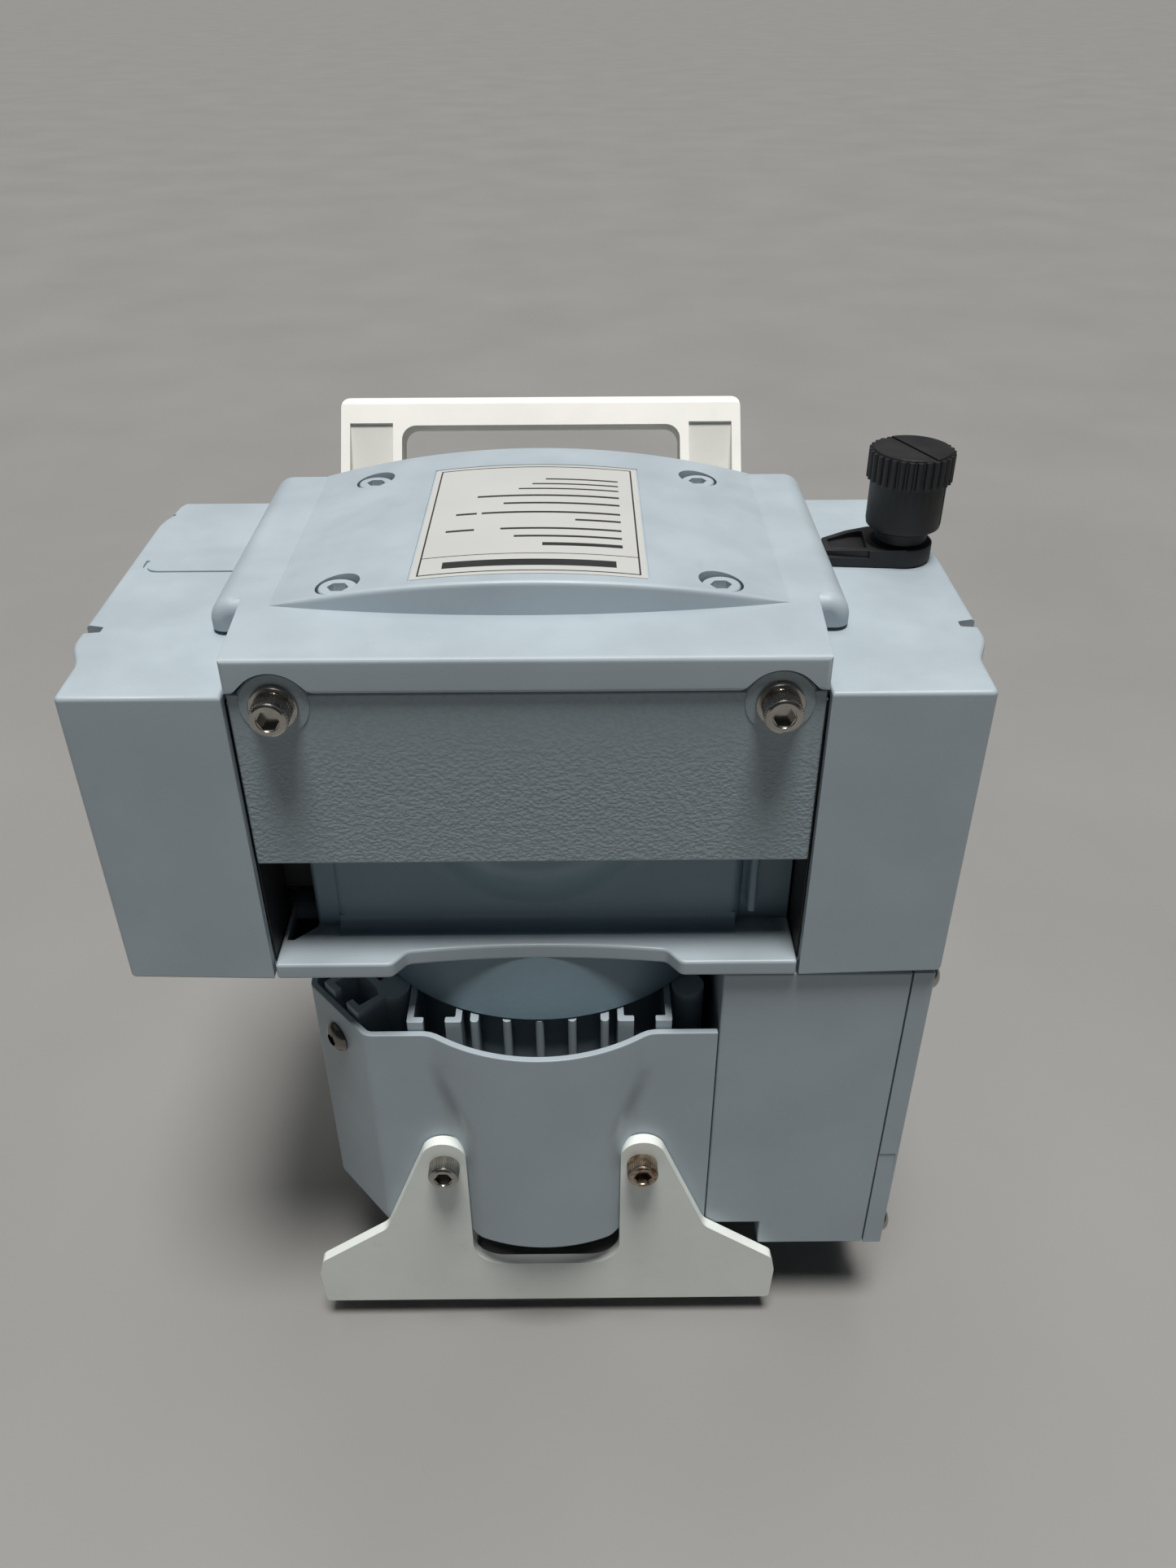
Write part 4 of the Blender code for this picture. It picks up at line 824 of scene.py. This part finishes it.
def drive_housing():
    """The pump block's casting: front wall, rear plate, roof, and the flange on the motor."""
    x, (_, rear), (low, _) = node_box("drive_housing")
    shelf_top = COVER_LOW + 5.5
    drive_shelf(x[1], rear, shelf_top)
    roof = (246, COVER_TOP - GAP)
    block = rounded(rectangle((-61, 61), (17, 113)), 4)
    body = solid("drive_casting", prism(block, shelf_top - 2, roof[0] + 1))
    add(body, block_foot(shelf_top), bearing_boss())
    add(body, *front_wall(shelf_top - 1, roof[0] + 2))
    add(body, box((-61, 61), (5, 125), roof), box((-73, 73), (5, 20.5), roof))
    neck = COVER_LOW + 2
    add(body, box((-75.4, 75.4), (123, rear), (neck, roof[1])))
    flange = [(0, low), (60.4, low), (61, low + 0.6), (58.1, COVER_LOW), (58.1, neck), (0, neck)]
    add(body, turned(flange, (0, SHAFT_Y), steps=96))
    screw = node_middle("panel_screw_right")
    for side, _ in SIDES:
        add(body, rod((side * screw.x, screw.z), 8.6, 4.8, 20, "Y", 48))
        add(body, box(sorted((side * 50.0, side * 70.0)), (108, 125), (shelf_top - 2, 194)))
    cut(body, rod((SHAFT_Y, 212), 30, -63, 63, "X", 48))
    cut(body, box((54.5, 70), (-5, 132), (low - 2, COVER_LOW)))
    bore = [(0, low - 2), (16.3, low - 2), (16.3, 153), (9, 153), (9, 180), (0, 180)]
    cut(body, rod((0, SHAFT_Y), 36, 176, 243, steps=48), turned(bore, (0, SHAFT_Y)))
    # The casting's darker paint is painted shade: the casting has the shelf's pale paint, shaded under
    # the panel.
    show(soften(body, 0.6, 3, 40), "dark_paint", ["drive_housing"], degrees=45)
    # Dark sheets of painted shade go beside the casting, where the pump has only shadow.
    add_painted_shade_sheets()


def add_painted_shade_sheets():
    """Black sheets of painted shade: they fill the gaps between the casting and the side covers, and
    the hole in the shelf, where there is only shade.
    """
    for side, word in SIDES:
        shade_sheet_outline = rounded(rectangle((3.6, 25), (168.4, 256)), 1)
        faces = sorted((side * 75.75, side * 76.2))
        show(solid("painted_shade_sheet_" + word, prism(shade_sheet_outline, *faces, "X")), "black_plastic")
    shade_sill_outline = rounded([(-75.4, 11.2), (-71.9, 11.2), (-66.2, 17.1), (-66.2, 25), (-75.4, 25)], 0.3)
    show(solid("painted_shade_sill_left", prism(shade_sill_outline, COVER_LOW + 1, COVER_LOW + 2)), "black_plastic")


def motor_housing():
    """A finned extrusion: fins in front, behind and on the left, with slotted rails and columns."""
    low, top = node_span("motor_housing", "z")
    body = solid("motor_extrusion", rod((0, SHAFT_Y), 55.5, low, top, steps=96))
    fins, half, tips = (-20, -10, 0, 10, 20), 1.3, [0, 1.2, 1.2, 0]
    for direction in (1, -1):
        reach, root = SHAFT_Y - direction * 61, SHAFT_Y - direction * 30
        for x in fins:
            fin = [(x - half, root), (x - half, reach), (x + half, reach), (x + half, root)]
            add(body, prism(rounded(fin, tips, 4), low, top))
        for side, _ in SIDES:
            for wing in (-1, 1):
                add(body, prism(slotted_rail(side * 32.3, wing, direction, reach, root), low, top))
            column = (side * 46.5, SHAFT_Y - direction * 45.0)
            web = [(side * 30, SHAFT_Y - direction * 33), (side * 33, root),
                   (column[0] + side, column[1] + direction), (column[0] - side, column[1] - direction)]
            add(body, prism(web, low, top), rod(column, 5.2, low, top, steps=32))
    for y in fins:
        fin = rectangle((-30, -66), around(SHAFT_Y + y, half))
        add(body, prism(rounded(fin, tips, 4), low, top))
    corner_webs(body, low, top)
    cut(body, rod((0, SHAFT_Y), 47, low - 2, top + 2, steps=96))
    show(soften(body, 0.35, 2, 40), "dark_paint", ["motor_housing"], material="pale_paint")


def slotted_rail(centre, wing, direction, reach, root):
    """Plan of one hooked half of a slotted rail on the motor."""
    inner, lip, outer = (centre + wing * v for v in (6.4, 3.3, 8.4))
    hook = reach + direction * 2.4
    outline = [(inner, root), (inner, hook), (lip, hook), (lip, reach), (outer, reach), (outer, root)]
    return rounded(outline, [0, 0.4, 0.4, 0.4, 0.6, 0], 2)


def behind(point):
    """The same place behind the motor's shaft."""
    return point[0], 2 * SHAFT_Y - point[1]


CHAMFER_START = (-53.5, 2.5)
CHAMFER_END = (node_span("motor_cover", "x")[0], 25.5)


def chamfer_facts():
    """The middle of the sheet cover's chamfered corner, and the unit vectors along it and out of it."""
    start, end = Vector(CHAMFER_START), Vector(CHAMFER_END)
    along = (end - start).normalized()
    return start + (end - start) * 0.54, along, Vector((-along.y, along.x))


def corner_webs(body, low, top):
    """A hooked slot profile at each left corner, which the sheet cover is screwed to."""
    foot, along, outward = chamfer_facts()
    side, lip, floor = (-34, -2.7), (-5.0, -2.7), (-16, -13.5)
    arms = (((-9.5, -7.0), side), ((7.0, 9.5), side), ((-9.5, -3.2), lip), ((3.2, 9.5), lip),
            ((-9.5, 9.5), floor))
    for place in (tuple, behind):
        for arm in arms:
            outline = [place(foot + along * t + outward * r) for t, r in rectangle(*arm)]
            add(body, prism(outline, low + 6, top - GAP))


def sheet_front(x, z, front, radius=57.0):
    """Where the sheet cover's front stands at x. Its bulge is narrower between the stand's prongs."""
    narrow, wide, slope = 23.6, 33.0, 1.7
    share = min(max((z - 96.0) / 36.0, 0.0), 1.0)
    half = narrow + (wide - narrow) * eased(share)
    curve = front + radius - math.sqrt(radius ** 2 - min(abs(x), half) ** 2)
    return curve if abs(x) <= half else min(CHAMFER_START[1], curve + (abs(x) - half) * slope)


def motor_cover():
    """A bent sheet: flat in front with a round bulge, a chamfered corner, and the same behind."""
    (left, right), (front, _), (low, high) = node_box("motor_cover")
    columns, rows = 72, 36
    corner = [(0, CHAMFER_START[1]), CHAMFER_START, CHAMFER_END, (left, SHAFT_Y)]
    bend = rounded(corner, [0, 5, 5, 0], 6)[1:]
    bm = bmesh.new()
    grid = []
    for k in range(rows + 1):
        z = low + (high - low) * k / rows
        places = [right - (right - CHAMFER_START[0]) * i / columns for i in range(columns + 1)]
        line = smoothed([(x, sheet_front(x, z, front)) for x in places], 2)
        path = line[:-2] + bend
        mirrored = [behind(point) for point in reversed(path)]
        grid.append([bm.verts.new((x, y, z)) for x, y in path + mirrored[1:]])
    for a, b in zip(grid, grid[1:]):
        for i in range(len(a) - 1):
            bm.faces.new((a[i], a[i + 1], b[i + 1], b[i]))
    body = solid("motor_cover_sheet", bm)
    modifier = body.modifiers.new("thickness", "SOLIDIFY")
    modifier.thickness = 2.2 * MM
    modifier.offset = -1
    apply_modifiers(body)
    show(soften(body, 0.5, 2, 60), "pale_paint", ["motor_cover"])


def smoothed(line, rounds):
    """A line with its kinks averaged out, and its ends kept."""
    for _ in range(rounds):
        inside = [((a[0] + 2 * b[0] + c[0]) / 4, (a[1] + 2 * b[1] + c[1]) / 4)
                  for a, b, c in zip(line, line[1:], line[2:])]
        line = line[:1] + inside + line[-1:]
    return line


def motor_cover_screw():
    foot, _, outward = chamfer_facts()
    out = Vector((*outward, 0))
    at = Vector((*foot, node_middle("motor_cover_screw").z)) + out * 0.3
    button_screw("motor_cover_screw", at, out, (5.0, 2.8), (2.3, 12.0), "dark_steel")


# Terminal box

def terminal_box():
    """A box open on its right side, which reaches lower there."""
    (left, right), y, (low, top) = node_box("terminal_box")
    wall, step_x, step_z = 2.5, 74.0, 46.5
    outline = [(left, step_z), (step_x, step_z), (step_x, low), (right, low), (right, top), (left, top)]
    body = solid("terminal_box_case", prism(outline, *y, "Y"))
    inner = [(left + wall, step_z + wall), (step_x + wall, step_z + wall), (step_x + wall, low + wall),
             (right + 2, low + wall), (right + 2, top - wall), (left + wall, top - wall)]
    cut(body, prism(inner, y[0] + wall, y[1] - wall, "Y"))
    for node, half_width, half_height in (("power_inlet", 12.3, 9.3), ("switch_rocker", 6.8, 11.3)):
        at = node_middle(node)
        cut(body, box(around(at.x, half_width), (y[1] - 5, y[1] + 2), around(at.z, half_height)))
    show(soften(body, 0.8, 3, 50), "pale_paint", ["terminal_box"])


def terminal_box_lid():
    x, y, z = node_box("terminal_box_lid")
    lid = solid("terminal_box_plate", box(x, y, z))
    groove = [(y[0] - 1, 70), (y[0], 70), (y[0] + 0.35, 82), (y[0] - 1, 82)]
    cut(lid, prism(groove, x[0] - 1, x[1] - 0.9, "X"))
    for word in ("lower", "upper"):
        at = node_middle("lid_screw_" + word)
        cut(lid, rod((at.y, at.z), 1.6, x[0] - 2, x[1] + 2, "X", 16))
    soften(lid, 0.8, 3, 50)
    show(lid, "pale_paint", ["terminal_box_lid"])


def power_inlet():
    """A mains inlet with three blades."""
    x, y, z = node_box("power_inlet")
    at = node_middle("power_inlet")
    rear = node_span("terminal_box", "y")[1]
    body = solid("power_inlet_shell", prism(rounded(rectangle(x, z), 3), rear + GAP, y[1], "Y"))
    add(body, box(around(at.x, 12), (y[0], rear + 1), around(at.z, 9)))
    recess = [(-9.5, -6.5), (9.5, -6.5), (9.5, 3), (6, 6.5), (-6, 6.5), (-9.5, 3)]
    cut(body, prism(rounded([(at.x + a, at.z + b) for a, b in recess], 0.8), rear - 15, rear + 5, "Y"))
    show(soften(body, 0.4, 2, 50), "black_plastic", ["power_inlet"])
    for i, (dx, dz) in enumerate(((-5, -1.5), (5, -1.5), (0, 1.5))):
        blade = box(around(at.x + dx, 0.9), (rear - 16, rear - 5), around(at.z + dz, 1.9))
        show(soften(solid(f"power_inlet_blade_{i + 1}", blade), 0.3, 2), "stainless_steel")


def switch_frame():
    """The bezel round the mains switch."""
    at = node_middle("switch_rocker")
    rear = node_span("terminal_box", "y")[1]
    outline = rounded(rectangle(around(at.x, 8.6), around(at.z, 13.0)), 1.5)
    body = solid("switch_bezel", prism(outline, rear + 0.1, rear + 1.8, "Y"))
    cut(body, box(around(at.x, 6.7), (rear - 3, rear + 4), around(at.z, 11.2)))
    show(soften(body, 0.4, 2, 50), "black_plastic")


# Stand

def stand_outline(half):
    """Half of a bracket's plate, from its middle to a wing and up to a prong."""
    prong_at, prong_radius = (32.6, 86.4), 7.3
    notch_at, notch_radius = (14.6, 41.0), 10.7
    low = node_span("foot_bracket_front", "z")[0]
    corners = [(0, low), (half - 0.7, low), (half, 25.5), (half - 1.6, 32.4), (54.2, 50.6),
               (prong_at[0] + 7.05, prong_at[1] + 2.0)]
    wing = rounded(corners, [0, 1.5, 6, 3.5, 7, 0], 6)
    prong = arc(prong_at, prong_radius, 18, 180, 16)
    return wing[:-1] + prong + arc(notch_at, notch_radius, 0, -90, 12)


def foot_bracket(row):
    """A folded plate: an upright with two prongs, and a tapered flange that is open in its middle."""
    node = "foot_bracket_" + row
    (_, half), y, (low, _) = node_box(node)
    plate, turn, end, back_end = 3.7, 9, half - 1, half - 19
    outside, far, inwards = (*y, 1) if row == "front" else (*y[::-1], -1)
    face = sorted((outside, outside + inwards * plate))
    opening = sorted((outside + inwards * (plate + 1.5), far + inwards))
    near, bend = outside + inwards, outside + inwards * (1 + turn)
    outline = stand_outline(half)
    outline += flipped(outline[1:])
    body = solid(node + "_plate", prism(outline, *face, "Y"))
    foot = [(-end, near), (end, near), (end, bend), (back_end, far), (-back_end, far), (-end, bend)]
    add(body, prism(rounded(foot, [0, 0, 3, 3, 3, 3]), low, low + plate))
    cut(body, box((-27, 27), opening, (low - 1, low + plate + 1)))
    screw_holes(body, "bracket_screw_front", 3.3, face[0] - 2, face[1] + 2)
    show(soften(body, 0.9, 4, 40), "stand_paint", [node])


def foot(node):
    """A rubber foot with a rounded edge and a small hollow below."""
    at = node_middle(node)
    top = node_span(node, "z")[1]
    radius = node_span(node, "x")[1] - at.x
    profile = [(0, 0.6), (3.4, 0.6), (3.8, 0), (radius - 2.0, 0), (radius - 0.8, 0.4),
               (radius - 0.2, 1.4), (radius, 3.0), (radius - 0.5, top - 0.4), (radius - 0.9, top),
               (0, top)]
    body = solid(node + "_moulded", turned(profile, (at.x, at.y), steps=40))
    show(body, "rubber", [node])


# Handle

def handle():
    """A wide handle with rounded rims and a hollow web in each leg."""
    x = node_span("handle", "x")
    lean = math.radians(36)
    top = (173.08, 282.9)
    tall, thick, leg, rim, corner_radius = 11.2, 11.5, 21.5, 3.2, 4.5
    rear_plate = node_span("drive_housing", "y")[1] + GAP
    half = x[1]

    def at(down, back):
        """A place in side view, from the distances down the lean and back across it."""
        return (top[0] - down * math.sin(lean) + back * math.cos(lean),
                top[1] - down * math.cos(lean) - back * math.sin(lean))

    def through(outline, rise=0.0):
        """A cutter through the leaning bar. Its outline lists x and the distance down the lean.

        It climbs by rise for each millimetre that it goes back.
        """
        bm = prism(outline, -2, 60)
        for vert in bm.verts:
            across_x, down, back = vert.co
            vert.co = (across_x, *at(down - rise * back, back))
        return bm

    side_view = [at(0.3, 0), at(0.3, thick), at(24, thick), (140.0, 190.0), (136.0, 176.0),
                 (rear_plate, 176.0), (rear_plate, 224.0)]
    body = solid("handle_moulding", prism(rounded(side_view, [3.4, 2.4, 12, 6, 2, 0.5, 2], 6), *x, "X"))
    inner = half - leg
    window = rounded(rectangle((-inner, inner), (tall, 160)), [5, 5, 0, 0], 8)
    cut(body, through(window, 0.15))
    turn_x, turn_down = half - corner_radius, corner_radius + 0.3
    corner = [(half + 1, turn_down)] + arc((turn_x, turn_down), corner_radius, 0, -90, 8)
    corner += [(turn_x, -1), (half + 1, -1)]
    hollow = [at(tall - 1, -0.5), at(tall - 0.5, 0.8), at(tall + 34, 8.0), at(tall + 44, 6.5),
              (135.5, 223.6), (134.5, 191.8), (rear_plate - 2, 190), (rear_plate - 2, 226)]
    hollow = rounded(hollow, [0, 0.8, 3, 0, 4, 1, 0, 0], 6)
    for side, _ in SIDES:
        cut(body, through(on_side(corner, side)))
        cut(body, prism(hollow, *sorted((side * (inner + rim), side * (half - rim))), "X"))
    screw_holes(body, "handle_screw", 2.8, rear_plate - 3, 150, 24)
    screw_holes(body, "handle_screw", 5.0, 133.5, 150)
    show(soften(body, 0.9, 3, 42), "off_white_plastic", ["handle"])


# Gas ballast

def knob():
    """A ribbed cap on a plain barrel, with a shallow slot across its top."""
    at = node_middle("gas_ballast_knob")
    low, top = node_span("gas_ballast_knob", "z")
    radius = node_span("gas_ballast_knob", "x")[1] - at.x
    ribs, rib_depth, rib_share, steps = 30, 1.15, 0.8, 6
    band, valley = top - 9.2, radius - rib_depth
    outline = []
    for i in range(ribs):
        for share in shares(steps):
            r = valley + rib_depth * math.sqrt(1 - (2 * share - 1) ** 2)
            turn = math.tau * (i + rib_share * share) / ribs
            outline.append((at.x + r * math.cos(turn), at.y + r * math.sin(turn)))
    body = solid("gas_ballast_cap", prism(outline, band + 0.3, top - 0.6))
    crown = [(0, band), (valley - 0.2, band), (valley + 0.2, band + 0.5), (valley + 0.2, top - 0.5),
             (valley - 0.2, top), (0, top)]
    barrel = [(0, low), (9.6, low), (10.8, low + 0.8), (11.0, low + 2.0), (11.0, band + 0.5),
              (0, band + 0.5)]
    add(body, turned(crown, (at.x, at.y), steps=90), turned(barrel, (at.x, at.y), steps=90))
    cut(body, rod((at.x, at.y), 5.0, low - 2, top - 6, steps=32))
    slot = box((-1.7, 1.7), (-14, 14), (-0.5, 2))
    turn = Matrix.Translation((at.x - 1.4, at.y, top)) @ Matrix.Rotation(math.radians(23), 4, "Z")
    bmesh.ops.transform(slot, verts=slot.verts, matrix=turn)
    cut(body, slot)
    show(soften(body, 0.25, 2, 50), "black_plastic", ["gas_ballast_knob"], "ballast_knob")


def knob_base():
    """The valve's base ring, with an arm that slopes down to the top cover."""
    at = node_middle("gas_ballast_knob")
    low = COVER_TOP + GAP
    (near, _), _, (bottom, top) = node_box("gas_ballast_valve")
    neck = node_span("gas_ballast_knob", "z")[0] - GAP
    profile = [(0, bottom), (4.7, bottom), (4.7, low), (9.1, low), (9.4, low + 0.4), (9.4, low + 5.2),
               (9.0, low + 5.7), (7.6, low + 6.2), (7.5, neck), (4.6, neck), (4.6, top), (0, top)]
    body = solid("gas_ballast_body", turned(profile, (at.x, at.y), steps=64))
    end, level = near - at.x, -8

    def plate(outline, base, height, drop):
        """A plate round the axis whose top falls away towards the top cover."""
        bm = prism([(at.x + a, at.y + b) for a, b in outline], base, height)
        for vert in bm.verts:
            if vert.co.z > base + 0.01:
                share = (at.x + level - vert.co.x) / (level - end)
                vert.co.z -= drop * max(0.0, min(1.0, share))
        return bm

    arm = [(end, -7.2), (0, -9.2), (0, 9.2), (-8, 9.2), (-15, 8.0), (end, 4.4)]
    add(body, plate(rounded(arm, [0.6, 0, 0, 8, 8, 0.6], 5), low, low + 5.7, 1.7))
    ledge = [(end - 2, -14), (end - 2, -4.9), (-11, -7.4), (-7, -14)]
    cut(body, plate(ledge, low + 2.6, low + 9, 0))
    pocket = [(end + 1.4, -3.4), (-11.0, -5.6), (-10.2, 7.0), (-14, 6.4), (end + 1.4, 3.0)]
    cut(body, plate(rounded(pocket, 0.8, 3), low + 3.3, low + 9, 0.9))
    show(soften(body, 0.3, 2, 40), "black_plastic", ["gas_ballast_valve"])


# Hose nozzles

def nozzle(node):
    """A hose nozzle with a collar and three barbs."""
    at = node_middle(node)
    start, end = node_span(node, "y")
    bore, barbs, pitch = 2.4, 3, 5
    collar, first = start + 6, end - barbs * pitch
    profile = [(bore, start), (6.2, start), (6.2, collar), (4.6, collar), (4.6, first)]
    for i in range(barbs):
        barb = first + pitch * i
        profile += [(5.4, barb + 0.1), (5.6, barb + 0.4), (4.3, barb + 4.6)]
    profile += [(3.9, end), (bore, end)]
    body = solid(node + "_turned", turned(profile, (at.x, at.z), "Y", 48, ring=True))
    show(body, "ptfe", [node])


# CAD nodes that stay as they are

def dress_cad_nodes():
    """Give the CAD nodes that stay in view a finish by their slot."""
    for part in frame["record"]["subparts"]:
        node = frame["nodes"][part["node"]]
        if node.hide_render:
            continue
        node.data.materials.clear()
        node.data.materials.append(FINISHES[part["material_slot"]])


# Surroundings

def stage():
    """A plain floor and a faint even sky."""
    floor = solid("floor", box((-15000, 15000), (-5000, 40000), (-20, 0)))
    made = Nodes("floor_grey", 0.55)
    share = made.remap(made.noise(160, 3), 0.3, 0.7)
    made.colour(made.mix(share, (0.21, 0.21, 0.205), (0.23, 0.23, 0.225)))
    made.bump(made.noise(3, 3), 0.03)
    floor.data.materials.append(made.material)
    world = bpy.data.worlds.new("studio")
    bpy.context.scene.world = world
    world.use_nodes = True
    background = world.node_tree.nodes["Background"]
    background.inputs["Color"].default_value = (0.78, 0.86, 0.95, 1)
    background.inputs["Strength"].default_value = 0.05


def light(name, towards, strength, softness):
    lamp = bpy.data.lights.new(name, "SUN")
    lamp.energy = strength
    lamp.color = (1.0, 0.975, 0.94)
    lamp.angle = softness
    made = in_scene(name, lamp)
    made.location = (0, 0, 1)
    made.rotation_euler = Vector(towards).to_track_quat("-Z", "Y").to_euler()


def lights():
    """A soft key from above, a little to the front, and a softer light from behind."""
    light("key", (-0.03, 0.17, -1), 3.8, math.radians(18))
    light("back", (0.05, -0.35, -1), 0.9, math.radians(40))


def camera():
    """A hand-held view from above the front, leaning down by about a third of a right angle."""
    focal_length, frame_height = 1518.4, 1927
    data = bpy.data.cameras.new("camera")
    data.sensor_width = 36.0
    data.lens = focal_length / frame_height * data.sensor_width
    data.clip_end = 50
    made = in_scene("camera", data)
    pitch, yaw, roll = math.radians(34.16), math.radians(-0.33), math.radians(0.25)
    aim = Matrix.Rotation(yaw, 4, "Z") @ Matrix.Rotation(math.pi / 2 - pitch, 4, "X")
    turn = aim @ Matrix.Rotation(-roll, 4, "Z")
    place = Vector((13.6, -266.8 + FRONT_Y, 414.1)) * MM
    made.matrix_world = Matrix.Translation(place) @ turn
    bpy.context.scene.camera = made
    bpy.context.scene.view_settings.view_transform = "Standard"


def build():
    for side, word in SIDES:
        side_cover(side, word)
    top_cover()
    label()
    front_panel()
    screws()
    drive_housing()
    motor_housing()
    motor_cover()
    motor_cover_screw()
    terminal_box()
    terminal_box_lid()
    power_inlet()
    switch_frame()
    for row in ("front", "rear"):
        foot_bracket(row)
        for _, word in SIDES:
            foot(f"rubber_foot_{row}_{word}")
    handle()
    knob()
    knob_base()
    for node in ("inlet_nozzle", "outlet_nozzle"):
        nozzle(node)
    dress_cad_nodes()
    stage()
    lights()
    camera()


build()
